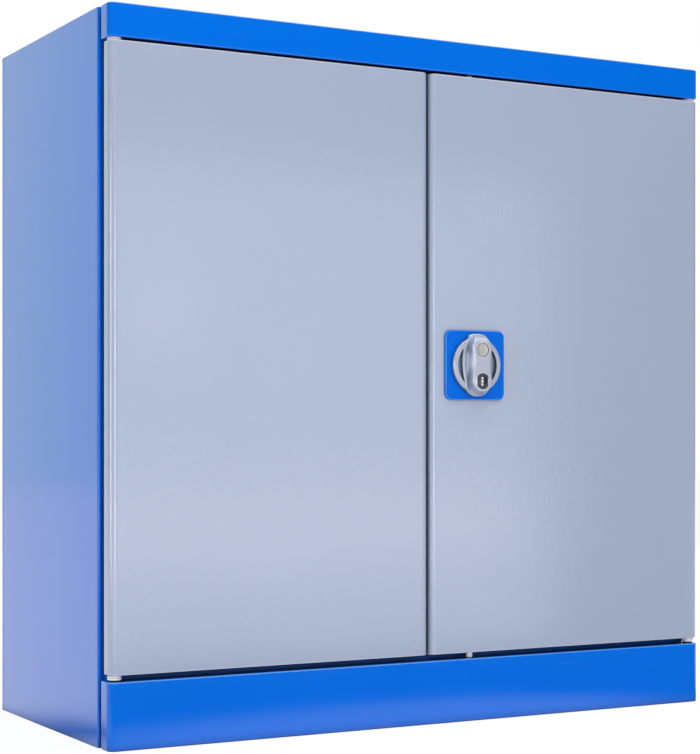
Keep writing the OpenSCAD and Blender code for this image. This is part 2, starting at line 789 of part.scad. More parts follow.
module lock_case() color(zinc) placed() at_knob() difference() {
    union() {
        translate([-case_w / 2, sheet_t, -case_h / 2])
            cube([case_w, case_back_y - sheet_t, case_h]);
        translate([-case_flange_w / 2, sheet_t, -case_h / 2])
            cube([case_flange_w, case_wall, case_h]);
    }
    translate([-case_w / 2 + case_wall, sheet_t - cut, -case_h / 2 + case_wall])
        cube([case_w - 2 * case_wall, case_back_y - sheet_t - case_wall + cut,
              case_h - 2 * case_wall]);
    turned(case_back_y - case_wall - cut, case_back_y + cut, case_eye_d);
    translate([0, rod_y, -case_h / 2 - cut]) cylinder(h = case_h + 2 * cut, d = rod_hole_d);
    at_case_screws() turned(0, sheet_t + case_wall + cut, case_screw_d);
}

module lock_case_screws() color(bright_steel) placed() at_knob() at_case_screws() {
    head_y = sheet_t + case_wall;
    turned(sheet_t, head_y, case_screw_d);
    difference() {
        turned(head_y, head_y + screw_head_h, screw_head_d);
        across(head_y + screw_head_h - screw_slot_w, head_y + screw_head_h + cut)
            square([screw_head_d + cut, screw_slot_w], center = true);
    }
}

module rod_guides() color(zinc) placed() for (z = guide_heights) difference() {
    translate([knob_x - guide_w / 2, sheet_t, z - guide_h / 2])
        cube([guide_w, guide_d, guide_h]);
    translate([knob_x, rod_y, z - guide_h / 2 - cut])
        cylinder(h = guide_h + 2 * cut, d = rod_d + 2 * rod_clear);
}

function rack_tooth(z) =
    let (half = tooth_thick / 2, lean = tan(pressure_angle))
    [[-pinion_r - tooth_in, z - half - tooth_in * lean],
     [-pinion_r + tooth_out, z - half + tooth_out * lean],
     [-pinion_r + tooth_out, z + half - tooth_out * lean],
     [-pinion_r - tooth_in, z + half + tooth_in * lean]];

// Rack of the upper rod: teeth on the pinion's left side, lug above the pinion
module rack() across(rod_y - rack_t / 2, rod_y + rack_t / 2) {
    teeth_down = (rack_teeth - rack_teeth_up) * tooth_pitch;
    bar_bottom = -teeth_down - tooth_pitch / 2;
    translate([-pinion_r - tooth_in - rack_bar, bar_bottom])
        square([rack_bar, lug_z + lug_h - bar_bottom]);
    translate([-pinion_r - tooth_in - rack_bar, lug_z])
        square([pinion_r + tooth_in + rack_bar + rod_d / 2, lug_h]);
    for (i = [0 : rack_teeth - 1])
        polygon(rack_tooth((i + 0.5) * tooth_pitch - teeth_down));
}

module upper_rack() color(zinc) placed() at_knob() rack();

module lower_rack() color(zinc) placed() at_knob() rotate([0, 180, 0]) rack();

module upper_rod() color(bright_steel) placed() {
    start_z = knob_z + lug_z + lug_h;
    translate([knob_x, rod_y, start_z])
        cylinder(h = top_flange_z - rod_tip_gap - start_z, d = rod_d);
}

module lower_rod() color(bright_steel) placed() {
    end_z = knob_z - lug_z - lug_h;
    tip_z = bottom_fascia_h + rod_tip_gap;
    translate([knob_x, rod_y, tip_z]) cylinder(h = end_z - tip_z, d = rod_d);
}

left_side_panel();
right_side_panel();
back_panel();
roof_panel();
floor_panel();
top_fascia();
bottom_fascia();
left_front_post();
right_front_post();
top_stop_rail();
bottom_stop_rail();
left_front_shelf_rail();
right_front_shelf_rail();
left_rear_shelf_rail();
right_rear_shelf_rail();
lower_shelf();
upper_shelf();
shelf_clips();
wall_fixing_pads();
hinge_pins();
hinge_washers();
hinge_spacers();
top_rod_keeper();
bottom_rod_keeper();
door_buffers();
left_door_skin();
left_door_stiffener();
left_door_bearing_plates();
left_door_bushes();
tongue_keeper();
tongue_keeper_rivets();
right_door_skin();
right_door_stiffener();
right_door_bearing_plates();
right_door_bushes();
lock_plate();
lock_ring();
lock_case();
lock_case_screws();
rod_guides();
knob();
knob_cap();
lock_barrel();
spindle();
pinion();
tongue();
tongue_screw();
lock_plug();
plug_cam();
upper_rack();
upper_rod();
lower_rack();
lower_rod();
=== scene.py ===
import json
import math

import bmesh
import bpy
import numpy as np
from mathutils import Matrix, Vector


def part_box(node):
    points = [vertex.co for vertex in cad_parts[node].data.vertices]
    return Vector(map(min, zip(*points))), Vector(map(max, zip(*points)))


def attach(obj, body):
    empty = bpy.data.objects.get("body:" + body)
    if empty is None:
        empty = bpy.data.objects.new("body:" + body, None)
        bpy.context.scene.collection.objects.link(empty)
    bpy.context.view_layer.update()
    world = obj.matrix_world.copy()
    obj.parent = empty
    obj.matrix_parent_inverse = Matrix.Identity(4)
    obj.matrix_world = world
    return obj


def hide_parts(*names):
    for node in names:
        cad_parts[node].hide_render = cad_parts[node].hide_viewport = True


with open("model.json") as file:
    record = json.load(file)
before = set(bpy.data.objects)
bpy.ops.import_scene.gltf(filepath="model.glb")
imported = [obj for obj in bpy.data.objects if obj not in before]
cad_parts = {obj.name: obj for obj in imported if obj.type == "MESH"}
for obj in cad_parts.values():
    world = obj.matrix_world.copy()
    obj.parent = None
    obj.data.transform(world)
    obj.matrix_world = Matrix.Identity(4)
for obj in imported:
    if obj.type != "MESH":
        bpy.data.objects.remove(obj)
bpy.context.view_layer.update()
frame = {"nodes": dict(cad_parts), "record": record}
mm = 0.001
sheet = 1.2 * mm  # thickness of every folded sheet
print("frame loaded:", len(frame["nodes"]), "nodes")


# Node groups that the materials share
def newGroup(name, inputs, outputs):
    group = bpy.data.node_groups.new(name, "ShaderNodeTree")
    for socketName, kind, value in inputs:
        socket = group.interface.new_socket(socketName, in_out="INPUT", socket_type=kind)
        socket.default_value = value
    for socketName, kind in outputs:
        group.interface.new_socket(socketName, in_out="OUTPUT", socket_type=kind)
    return group, group.nodes.new("NodeGroupInput"), group.nodes.new("NodeGroupOutput")


def feed(tree, value, socket):
    if isinstance(value, bpy.types.NodeSocket):
        tree.links.new(value, socket)
    else:
        socket.default_value = value


def addNode(tree, kind, settings=None, **inputs):
    node = tree.nodes.new(kind)
    for key, value in (settings or {}).items():
        setattr(node, key, value)
    for key, value in inputs.items():
        feed(tree, value, node.inputs[key.replace("_", " ")])
    return node


def calc(tree, operation, a, b=0.0, c=0.0, clamp=False):
    node = tree.nodes.new("ShaderNodeMath")
    node.operation = operation
    node.use_clamp = clamp
    for socket, value in zip(node.inputs, (a, b, c)):
        feed(tree, value, socket)
    return node.outputs[0]


def ramp(tree, value, low, high, toLow=0.0, toHigh=1.0):
    node = addNode(tree, "ShaderNodeMapRange", {"interpolation_type": "SMOOTHSTEP"},
                   Value=value, From_Min=low, From_Max=high, To_Min=toLow, To_Max=toHigh)
    return node.outputs["Result"]


def mixColor(tree, factor, a, b, blend="MIX"):
    node = tree.nodes.new("ShaderNodeMix")
    node.data_type = "RGBA"
    node.blend_type = blend
    for index, value in ((0, factor), (6, a), (7, b)):
        feed(tree, value, node.inputs[index])
    return node.outputs[2]


def noise(tree, vector, scale, detail=2.0, rough=0.5):
    return addNode(tree, "ShaderNodeTexNoise", Vector=vector, Scale=scale, Detail=detail,
                   Roughness=rough).outputs["Fac"]


def objectPoint(tree):
    return addNode(tree, "ShaderNodeTexCoord").outputs["Object"]


# Fine lumps of cured powder, broad waves of the sheet under it
def makeOrangePeel():
    group, source, sink = newGroup(
        "orangePeel",
        [("Lump Size", "NodeSocketFloat", 0.003), ("Fine Size", "NodeSocketFloat", 0.001),
         ("Fine Share", "NodeSocketFloat", 0.3)],
        [("Height", "NodeSocketFloat"), ("Waves", "NodeSocketFloat")])
    point = objectPoint(group)
    lumps = noise(group, point, calc(group, "DIVIDE", 1.0, source.outputs["Lump Size"]), 1.0)
    fine = noise(group, point, calc(group, "DIVIDE", 1.0, source.outputs["Fine Size"]), 1.0)
    share = source.outputs["Fine Share"]
    height = calc(group, "ADD", calc(group, "MULTIPLY", fine, share),
                  calc(group, "MULTIPLY", lumps, calc(group, "SUBTRACT", 1.0, share)))
    group.links.new(height, sink.inputs["Height"])
    group.links.new(noise(group, point, 5.0, 1.0), sink.inputs["Waves"])
    return group


# Colour and gloss of a powder coat: cloudy tone, pigment specks, dull patches
def makePaintFilm():
    group, source, sink = newGroup(
        "paintFilm",
        [("Color", "NodeSocketColor", (0.5, 0.5, 0.5, 1)), ("Cloud", "NodeSocketFloat", 0.04),
         ("Specks", "NodeSocketFloat", 0.03), ("Roughness", "NodeSocketFloat", 0.25),
         ("Dull Patches", "NodeSocketFloat", 0.06)],
        [("Color", "NodeSocketColor"), ("Roughness", "NodeSocketFloat")])
    point = objectPoint(group)
    cloud = calc(group, "SUBTRACT", noise(group, point, 4.5, 3.0), 0.5)
    specks = calc(group, "SUBTRACT", noise(group, point, 1400.0, 1.0), 0.5)
    tone = calc(group, "ADD", 1.0, calc(
        group, "ADD", calc(group, "MULTIPLY", cloud, source.outputs["Cloud"]),
        calc(group, "MULTIPLY", specks, source.outputs["Specks"])))
    scaled = addNode(group, "ShaderNodeVectorMath", {"operation": "SCALE"})
    group.links.new(source.outputs["Color"], scaled.inputs[0])
    group.links.new(tone, scaled.inputs["Scale"])
    group.links.new(scaled.outputs[0], sink.inputs["Color"])
    patches = ramp(group, noise(group, point, 11.0, 4.0, 0.6), 0.42, 0.75)
    dull = calc(group, "MULTIPLY", patches, source.outputs["Dull Patches"])
    group.links.new(calc(group, "ADD", source.outputs["Roughness"], dull, clamp=True),
                    sink.inputs["Roughness"])
    return group


# Sparse hairline scuffs, and a dust film that lies on faces that look up
def makeHandling():
    group, source, sink = newGroup(
        "handlingMarks",
        [("Amount", "NodeSocketFloat", 0.5), ("Dust", "NodeSocketFloat", 0.2)],
        [("Scuffs", "NodeSocketFloat"), ("Dust", "NodeSocketFloat")])
    point = objectPoint(group)
    hairs = None
    for turn, stretch in ((0.5, 1.0), (-0.9, 1.4)):
        mapped = addNode(group, "ShaderNodeMapping", {"vector_type": "POINT"}, Vector=point)
        mapped.inputs["Rotation"].default_value = (0.3 * turn, turn, 0.6 * turn)
        mapped.inputs["Scale"].default_value = (9.0, 420.0 * stretch, 420.0 * stretch)
        lines = ramp(group, noise(group, mapped.outputs[0], 1.0, 0.0), 0.80, 0.84)
        hairs = lines if hairs is None else calc(group, "MAXIMUM", hairs, lines)
    where = ramp(group, noise(group, point, 7.0, 2.0), 0.56, 0.70)
    group.links.new(calc(group, "MULTIPLY", calc(group, "MULTIPLY", hairs, where),
                         source.outputs["Amount"]), sink.inputs["Scuffs"])
    facing = addNode(group, "ShaderNodeSeparateXYZ",
                     Vector=addNode(group, "ShaderNodeNewGeometry").outputs["Normal"])
    settled = ramp(group, facing.outputs["Z"], 0.5, 0.95)
    grains = ramp(group, noise(group, point, 600.0, 3.0, 0.7), 0.35, 0.75)
    group.links.new(calc(group, "MULTIPLY", calc(group, "MULTIPLY", settled, grains),
                         source.outputs["Dust"]), sink.inputs["Dust"])
    return group


# Passivated zinc: soft crystal patches with a faint yellow and blue tint
def makeZincSkin():
    group, source, sink = newGroup(
        "zincSkin",
        [("Color", "NodeSocketColor", (0.6, 0.6, 0.62, 1)), ("Patch Size", "NodeSocketFloat", 0.006),
         ("Tint", "NodeSocketFloat", 0.25), ("Roughness", "NodeSocketFloat", 0.35)],
        [("Color", "NodeSocketColor"), ("Roughness", "NodeSocketFloat"),
         ("Height", "NodeSocketFloat")])
    point = objectPoint(group)
    density = calc(group, "DIVIDE", 1.0, source.outputs["Patch Size"])
    cells = addNode(group, "ShaderNodeTexVoronoi", {"feature": "SMOOTH_F1"}, Vector=point)
    group.links.new(density, cells.inputs["Scale"])
    hue = addNode(group, "ShaderNodeSeparateColor", Color=cells.outputs["Color"])
    warm = mixColor(group, hue.outputs[0], (1.0, 0.97, 0.88, 1), (0.90, 0.95, 1.0, 1))
    tinted = mixColor(group, source.outputs["Tint"], source.outputs["Color"], warm, "MULTIPLY")
    group.links.new(tinted, sink.inputs["Color"])
    drawn = addNode(group, "ShaderNodeMapping", Vector=point)
    drawn.inputs["Scale"].default_value = (60.0, 900.0, 60.0)
    streaks = noise(group, drawn.outputs[0], 1.0, 2.0)
    rough = calc(group, "ADD", source.outputs["Roughness"], calc(
        group, "MULTIPLY", calc(group, "SUBTRACT", streaks, 0.5), 0.25), clamp=True)
    group.links.new(rough, sink.inputs["Roughness"])
    group.links.new(calc(group, "ADD", calc(group, "MULTIPLY", hue.outputs[1], 0.4),
                         calc(group, "MULTIPLY", streaks, 0.6)), sink.inputs["Height"])
    return group


# Bead-blasted or moulded skin: very fine grain and slow unevenness
def makeFineGrain():
    group, source, sink = newGroup(
        "fineGrain",
        [("Grain Size", "NodeSocketFloat", 0.0004), ("Roughness", "NodeSocketFloat", 0.4),
         ("Spread", "NodeSocketFloat", 0.15)],
        [("Height", "NodeSocketFloat"), ("Roughness", "NodeSocketFloat")])
    point = objectPoint(group)
    grain = noise(group, point, calc(group, "DIVIDE", 1.0, source.outputs["Grain Size"]), 2.0)
    uneven = calc(group, "SUBTRACT", noise(group, point, 160.0, 2.0), 0.5)
    group.links.new(grain, sink.inputs["Height"])
    group.links.new(calc(group, "ADD", source.outputs["Roughness"], calc(
        group, "MULTIPLY", uneven, source.outputs["Spread"]), clamp=True),
        sink.inputs["Roughness"])
    return group


# Mask of convex edges, for rubbed wear and a painted highlight: looking into the solid, another face
# is near there
def makeEdgeRubAndHighlight():
    group, source, sink = newGroup(
        "edgeRubAndHighlight", [("Reach", "NodeSocketFloat", 0.001), ("Amount", "NodeSocketFloat", 0.5)],
        [("Mask", "NodeSocketFloat")])
    point = objectPoint(group)
    within = addNode(group, "ShaderNodeAmbientOcclusion",
                     {"samples": 8, "inside": True, "only_local": True})
    group.links.new(source.outputs["Reach"], within.inputs["Distance"])
    edge = ramp(group, within.outputs["AO"], 0.62, 0.97, 1.0, 0.0)
    patchy = ramp(group, noise(group, point, 350.0, 3.0), 0.3, 0.7, 0.55, 1.0)
    group.links.new(calc(group, "MULTIPLY", calc(group, "MULTIPLY", edge, patchy),
                         source.outputs["Amount"]), sink.inputs["Mask"])
    return group


orangePeel = makeOrangePeel()
paintFilm = makePaintFilm()
handlingMarks = makeHandling()
zincSkin = makeZincSkin()
fineGrain = makeFineGrain()
edgeRubAndHighlight = makeEdgeRubAndHighlight()
print("node groups made")


def srgb(r, g, b):
    def linear(c):
        c = c / 255
        return c / 12.92 if c <= 0.04045 else ((c + 0.055) / 1.055) ** 2.4
    return (linear(r), linear(g), linear(b), 1.0)


def startMaterial(name):
    material = bpy.data.materials.new(name)
    material.use_nodes = True
    tree = material.node_tree
    return material, tree, tree.nodes["Principled BSDF"]


def place(tree, group, **inputs):
    return addNode(tree, "ShaderNodeGroup", {"node_tree": group}, **inputs)


def bumpNormal(tree, height, depth, **below):
    node = addNode(tree, "ShaderNodeBump", Strength=1.0, Distance=depth, Height=height, **below)
    return node.outputs[0]


# Painted shade: how far a point lies in a narrow gap, from occlusion; there the paint is darkened as
# shade
def gapShadeMask(tree, look):
    shut = addNode(tree, "ShaderNodeAmbientOcclusion", {"samples": 6},
                   Distance=look["gapShadeReach"])
    return ramp(tree, shut.outputs["AO"], 0.0, look["gapShadeStart"], look["gapShadeDark"], 0.0)


def powderCoat(name, look):
    material, tree, shader = startMaterial(name)
    film = place(tree, paintFilm, Color=look["color"], Cloud=look["cloud"],
                 Specks=look["specks"], Roughness=look["roughness"],
                 Dull_Patches=look["dullPatches"])
    marks = place(tree, handlingMarks, Amount=look["scuffs"], Dust=look["dust"])
    scuffed = mixColor(tree, marks.outputs["Scuffs"], film.outputs["Color"], look["scuffColor"])
    dusty = mixColor(tree, marks.outputs["Dust"], scuffed, look["dustColor"])
    # painted highlight along the bends, from the mesh attribute
    bend = addNode(tree, "ShaderNodeAttribute", {"attribute_name": "bend"})
    bendHighlight = calc(tree, "MULTIPLY", bend.outputs["Fac"], look["bendLight"], clamp=True)
    # painted shade in gaps and corners: the paint darkens, dulls and loses its coat there
    gapShade = gapShadeMask(tree, look)
    shaded = mixColor(tree, gapShade, dusty, gapShadeColor)
    tree.links.new(mixColor(tree, bendHighlight, shaded, look["bendHighlightColor"]), shader.inputs["Base Color"])
    worn = calc(tree, "ADD", film.outputs["Roughness"], calc(
        tree, "MULTIPLY", calc(tree, "ADD", marks.outputs["Scuffs"], marks.outputs["Dust"]),
        look["wornDull"]), clamp=True)
    dulled = calc(tree, "ADD", worn, calc(tree, "MULTIPLY", gapShade, look["gapShadeDull"]),
                  clamp=True)
    tree.links.new(dulled, shader.inputs["Roughness"])
    peel = place(tree, orangePeel, Lump_Size=look["lump"], Fine_Size=look["fine"],
                 Fine_Share=look["fineShare"])
    waves = bumpNormal(tree, peel.outputs["Waves"], look["waveDepth"])
    lumps = bumpNormal(tree, peel.outputs["Height"], look["lumpDepth"], Normal=waves)
    tree.links.new(lumps, shader.inputs["Normal"])
    tree.links.new(lumps, shader.inputs["Coat Normal"])
    shader.inputs["IOR"].default_value = look["ior"]
    shader.inputs["Coat IOR"].default_value = look["coatIor"]
    coat = calc(tree, "MULTIPLY", calc(tree, "SUBTRACT", 1.0, gapShade), look["coat"])
    tree.links.new(coat, shader.inputs["Coat Weight"])
    shader.inputs["Coat Roughness"].default_value = look["coatRoughness"]
    return material


def plated(name, look):
    material, tree, shader = startMaterial(name)
    skin = place(tree, zincSkin, Color=look["color"], Patch_Size=look["patch"],
                 Tint=look["tint"], Roughness=look["roughness"])
    tree.links.new(skin.outputs["Color"], shader.inputs["Base Color"])
    tree.links.new(skin.outputs["Roughness"], shader.inputs["Roughness"])
    grain = bumpNormal(tree, skin.outputs["Height"], look["depth"])
    tree.links.new(grain, shader.inputs["Normal"])
    shader.inputs["Metallic"].default_value = look["metallic"]
    return material


def grained(name, look):
    material, tree, shader = startMaterial(name)
    skin = place(tree, fineGrain, Grain_Size=look["grain"], Roughness=look["roughness"],
                 Spread=look["spread"])
    # lighter convex edges: partly rubbed wear, partly a painted highlight
    rubAndHighlight = place(tree, edgeRubAndHighlight, Reach=look["rubReach"], Amount=look["rubAndHighlight"])
    film = place(tree, paintFilm, Color=look["color"], Cloud=look["cloud"],
                 Specks=look["specks"])
    worn = mixColor(tree, rubAndHighlight.outputs["Mask"], film.outputs["Color"], look["rubHighlightColor"])
    # painted shade in the knob's hollows, from the mesh attribute
    hollowShadeMask = addNode(tree, "ShaderNodeAttribute", {"attribute_name": "hollowShadeMask"})
    hollowShade = calc(tree, "MULTIPLY", hollowShadeMask.outputs["Fac"], look["hollowShadeDark"], clamp=True)
    hollowShaded = mixColor(tree, hollowShade, worn, look["hollowShadeColor"])
    # painted shade in the knob's gaps and corners
    shaded = mixColor(tree, gapShadeMask(tree, look), hollowShaded, gapShadeColor)
    tree.links.new(shaded, shader.inputs["Base Color"])
    tree.links.new(skin.outputs["Roughness"], shader.inputs["Roughness"])
    grain = bumpNormal(tree, skin.outputs["Height"], look["depth"])
    tree.links.new(grain, shader.inputs["Normal"])
    shader.inputs["Metallic"].default_value = look["metallic"]
    shader.inputs["Coat Weight"].default_value = look["coat"]
    shader.inputs["Coat Roughness"].default_value = look["coatRoughness"]
    return material


gapShadeColor = (0.0, 0.006, 0.025, 1.0)  # nearly black, a little blue: the colour of painted shade in gaps
# the bend keys set a painted highlight along the bends
bluePaintLook = {
    "color": srgb(0, 113, 230), "cloud": 0.06, "specks": 0.04, "roughness": 0.13,
    "dullPatches": 0.02, "scuffs": 0.25, "scuffColor": srgb(70, 150, 245), "dust": 0.03,
    "dustColor": srgb(170, 175, 182), "lump": 0.0034, "fine": 0.0012, "fineShare": 0.35,
    "lumpDepth": 0.00006, "waveDepth": 0.0003, "coat": 0.9,
    "coatRoughness": 0.06, "ior": 1.32, "coatIor": 1.32, "gapShadeReach": 0.018,
    "gapShadeStart": 0.85, "gapShadeDark": 0.96, "gapShadeDull": 0.5, "wornDull": 0.35,
    "bendLight": 0.55, "bendHighlightColor": srgb(110, 185, 255),
}
doorPaintLook = {
    "color": srgb(170, 181, 206), "cloud": 0.05, "specks": 0.03, "roughness": 0.38,
    "dullPatches": 0.03, "scuffs": 0.25, "scuffColor": srgb(205, 213, 226), "dust": 0.08,
    "dustColor": srgb(185, 186, 188), "lump": 0.0032, "fine": 0.0011, "fineShare": 0.2,
    "lumpDepth": 0.00012, "waveDepth": 0.0004, "coat": 1.0,
    "coatRoughness": 0.10, "ior": 1.45, "coatIor": 1.6, "gapShadeReach": 0.008,
    "gapShadeStart": 0.85, "gapShadeDark": 0.85, "gapShadeDull": 0.5, "wornDull": 0.35,
    "bendLight": 0.5, "bendHighlightColor": srgb(226, 232, 243),
}
platePaintLook = dict(bluePaintLook, color=srgb(0, 108, 228), lump=0.0022, fine=0.0008,
                      waveDepth=0.0002, scuffs=0.2, gapShadeReach=0.007, gapShadeDark=0.7,
                      ior=1.12, coat=0.3, coatIor=1.12)
zincLook = {"color": srgb(190, 192, 196), "patch": 0.005, "tint": 0.5, "roughness": 0.40,
            "depth": 0.00003, "metallic": 0.6}
brightLook = {"color": srgb(246, 247, 250), "patch": 0.003, "tint": 0.12, "roughness": 0.25,
              "depth": 0.00001, "metallic": 0.15}
# the recess keys set the painted shade in the knob's hollows
# the rub keys give lighter edges, partly wear and partly a painted highlight
knobLook = {"color": srgb(182, 188, 204), "cloud": 0.08, "specks": 0.06, "grain": 0.0005,
            "roughness": 0.32, "spread": 0.15, "rubReach": 0.0014, "rubAndHighlight": 0.75,
            "rubHighlightColor": srgb(240, 244, 250), "depth": 0.00002, "metallic": 0.38, "coat": 0.3,
            "coatRoughness": 0.12, "gapShadeReach": 0.020, "gapShadeStart": 0.98,
            "gapShadeDark": 0.8, "hollowShadeDark": 1.0, "hollowShadeColor": srgb(112, 126, 154)}
capLook = dict(knobLook, color=srgb(170, 168, 162), metallic=0.2, rubAndHighlight=0.3,
               gapShadeReach=0.003, gapShadeStart=0.85)
barrelLook = {"color": srgb(66, 70, 84), "cloud": 0.1, "specks": 0.05, "grain": 0.0003,
              "roughness": 0.24, "spread": 0.1, "rubReach": 0.0005, "rubAndHighlight": 0.4,
              "rubHighlightColor": srgb(150, 156, 168), "depth": 0.00001, "metallic": 0.85, "coat": 0.3,
              "coatRoughness": 0.08, "gapShadeReach": 0.004, "gapShadeStart": 0.85,
              "gapShadeDark": 0.8, "hollowShadeDark": 0.0, "hollowShadeColor": srgb(20, 22, 26)}
rubberLook = {"color": srgb(34, 34, 35), "cloud": 0.15, "specks": 0.1, "grain": 0.0006,
              "roughness": 0.75, "spread": 0.2, "rubReach": 0.0008, "rubAndHighlight": 0.3,
              "rubHighlightColor": srgb(70, 70, 72), "depth": 0.00003, "metallic": 0.0, "coat": 0.0,
              "coatRoughness": 0.3, "gapShadeReach": 0.004, "gapShadeStart": 0.85,
              "gapShadeDark": 0.5, "hollowShadeDark": 0.0, "hollowShadeColor": srgb(20, 22, 26)}
nylonLook = dict(rubberLook, color=srgb(24, 25, 28), roughness=0.5, grain=0.0004)

bluePaint = powderCoat("bluePowderCoat", bluePaintLook)
doorPaint = powderCoat("greyBluePowderCoat", doorPaintLook)
platePaint = powderCoat("plateBluePowderCoat", platePaintLook)
zincPlate = plated("zincPlatedSteel", zincLook)
brightSteel = plated("brightPlatedSteel", brightLook)
knobSilver = grained("satinSilverCasting", knobLook)
capSilver = grained("satinSilverCap", capLook)
barrelDark = grained("darkLockMetal", barrelLook)
bufferRubber = grained("bufferRubber", rubberLook)
spacerNylon = grained("spacerNylon", nylonLook)
slotMaterial = {
    "body_paint": bluePaint, "door_paint": doorPaint, "plate_paint": platePaint,
    "zinc_plate": zincPlate, "bright_steel": brightSteel, "knob_metal": knobSilver,
    "dark_steel": barrelDark, "buffer_rubber": bufferRubber, "spacer_plastic": spacerNylon,
}
print("materials made:", len(slotMaterial))


def arc(cx, cy, radius, start, end, count):
    return [(cx + radius * math.cos(math.radians(start + (end - start) * i / count)),
             cy + radius * math.sin(math.radians(start + (end - start) * i / count)))
            for i in range(count + 1)]


def markSmooth(bm, sharpAngle=35.0):
    for face in bm.faces:
        face.smooth = True
    for edge in bm.edges:
        edge.smooth = edge.is_manifold and edge.calc_face_angle(0.0) < math.radians(sharpAngle)


# Rings of faces from each loop of points to the next; a loop may be a single point
def joinLoops(bm, loops):
    for a, b in zip(loops, loops[1:]):
        count = max(len(a), len(b))
        for i in range(count):
            j = (i + 1) % count
            if len(a) == 1:
                bm.faces.new((a[0], b[i], b[j]))
            elif len(b) == 1:
                bm.faces.new((a[i], a[j], b[0]))
            else:
                bm.faces.new((a[i], a[j], b[j], b[i]))


def makePiece(name, bm, material):
    mesh = bpy.data.meshes.new(name)
    bm.to_mesh(mesh)
    bm.free()
    piece = bpy.data.objects.new(name, mesh)
    bpy.context.scene.collection.objects.link(piece)
    mesh.materials.append(material)
    return piece


# Writes the modifiers into the mesh and marks the sharp edges again
def settle(piece, sharpAngle=35.0):
    bpy.context.view_layer.update()
    evaluated = piece.evaluated_get(bpy.context.evaluated_depsgraph_get())
    mesh = bpy.data.meshes.new_from_object(evaluated)
    piece.modifiers.clear()
    piece.data = mesh
    bm = bmesh.new()
    bm.from_mesh(mesh)
    markSmooth(bm, sharpAngle)
    bm.to_mesh(mesh)
    bm.free()


def flatFaces(piece):
    modifier = piece.modifiers.new("flatFaces", "WEIGHTED_NORMAL")
    modifier.keep_sharp = True
    modifier.weight = 100


def dress(piece, body, slotName, *replaced):
    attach(piece, body)
    if replaced:
        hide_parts(*replaced)
    return piece


# Takes the cutter's shape out of a piece and throws the cutter away
def subtract(piece, cutter):
    modifier = piece.modifiers.new("cut", "BOOLEAN")
    modifier.operation = "DIFFERENCE"
    modifier.solver = "EXACT"
    modifier.object = cutter
    settle(piece)
    bpy.data.objects.remove(cutter)


# Cuts cylinders out of a piece: (x, y, z, radius, length, axis)
def drill(piece, holes):
    for x, y, z, radius, length, axis in holes:
        bm = bmesh.new()
        bmesh.ops.create_cone(bm, cap_ends=True, segments=40, radius1=radius,
                              radius2=radius, depth=length)
        cutter = makePiece("cutter", bm, piece.data.materials[0])
        cutter.location = (x, y, z)
        if axis == "Y":
            cutter.rotation_euler = (math.radians(90), 0, 0)
        subtract(piece, cutter)


# Gives a surface the thickness of the sheet, inwards
def thicken(piece):
    modifier = piece.modifiers.new("thickness", "SOLIDIFY")
    modifier.thickness = sheet
    modifier.offset = -1
    modifier.use_even_offset = True
    settle(piece)
    return piece


# Plan of a folded front, counter-clockwise from the left lip's end to the right lip's end
def foldedPlan(fold, inset):
    half, depth = fold["width"] / 2, fold["depth"]
    edge, back, count = fold["edgeRadius"], fold["backRadius"], fold["segments"]
    lipX, lipY = half - fold["lip"], depth - inset * fold["backFollows"]
    tight = max(back - inset, 0.05 * mm)  # never quite sharp
    loop = [(-lipX, lipY)]
    loop += arc(-half + back, depth - back, tight, 90, 180, 4)
    loop += arc(-half + edge, edge, edge - inset, 180, 270, count)
    loop += arc(half - edge, edge, edge - inset, 270, 360, count)
    loop += arc(half - back, depth - back, tight, 0, 90, 4)
    loop.append((lipX, lipY))
    return loop


# Sheet folded round a front: bends at its top and bottom, open back between the lips
def foldedFront(name, fold, material):
    bend, height = fold["bendRadius"], fold["height"]
    levels = []
    for k in range(fold["bendSteps"] + 1):
        turn = math.radians(90 * k / fold["bendSteps"])
        levels.append((bend * (1 - math.sin(turn)), bend * (1 - math.cos(turn)),
                       math.sin(2 * turn)))
    rows = [(inset, rise, light * fold["lowBendLight"]) for inset, rise, light in levels]
    if fold["lipHeight"]:
        rows += [(0.0, fold["lipHeight"], 0.0), (0.0, height - fold["lipHeight"], 0.0)]
    rows += [(inset, height - rise, light) for inset, rise, light in reversed(levels)]
    bm = bmesh.new()
    bendHighlightLayer = bm.verts.layers.float.new("bend")  # 1 in the middle of a bend, where the paint gets a painted highlight
    loops = []
    for inset, z, light in rows:
        loops.append([bm.verts.new((fold["x"] + px, fold["y"] + py, fold["z"] + z))
                      for px, py in foldedPlan(fold, inset)])
        for v in loops[-1]:
            v[bendHighlightLayer] = light
    for low, high, (_, zLow, _), (_, zHigh, _) in zip(loops, loops[1:], rows, rows[1:]):
        for i in range(len(low)):
            j = (i + 1) % len(low)
            opening = j == 0 and (not fold["lipHeight"] or
                                  (zLow >= fold["lipHeight"] - mm * 0.01 and
                                   zHigh <= height - fold["lipHeight"] + mm * 0.01))
            if not opening:
                bm.faces.new((low[i], low[j], high[j], high[i]))
    bm.faces.new(loops[-1])
    bm.faces.new(list(reversed(loops[0])))
    return thicken(makePiece(name, bm, material))


# Open strip of sheet with the given plan, standing from z0 to z1
def foldedStrip(name, plan, z0, z1, material):
    bm = bmesh.new()
    low = [bm.verts.new((x, y, z0)) for x, y in plan]
    high = [bm.verts.new((x, y, z1)) for x, y in plan]
    for i in range(len(plan) - 1):
        bm.faces.new((low[i], low[i + 1], high[i + 1], high[i]))
    return thicken(makePiece(name, bm, material))


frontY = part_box("left_door_skin")[0].y  # plane of the door faces
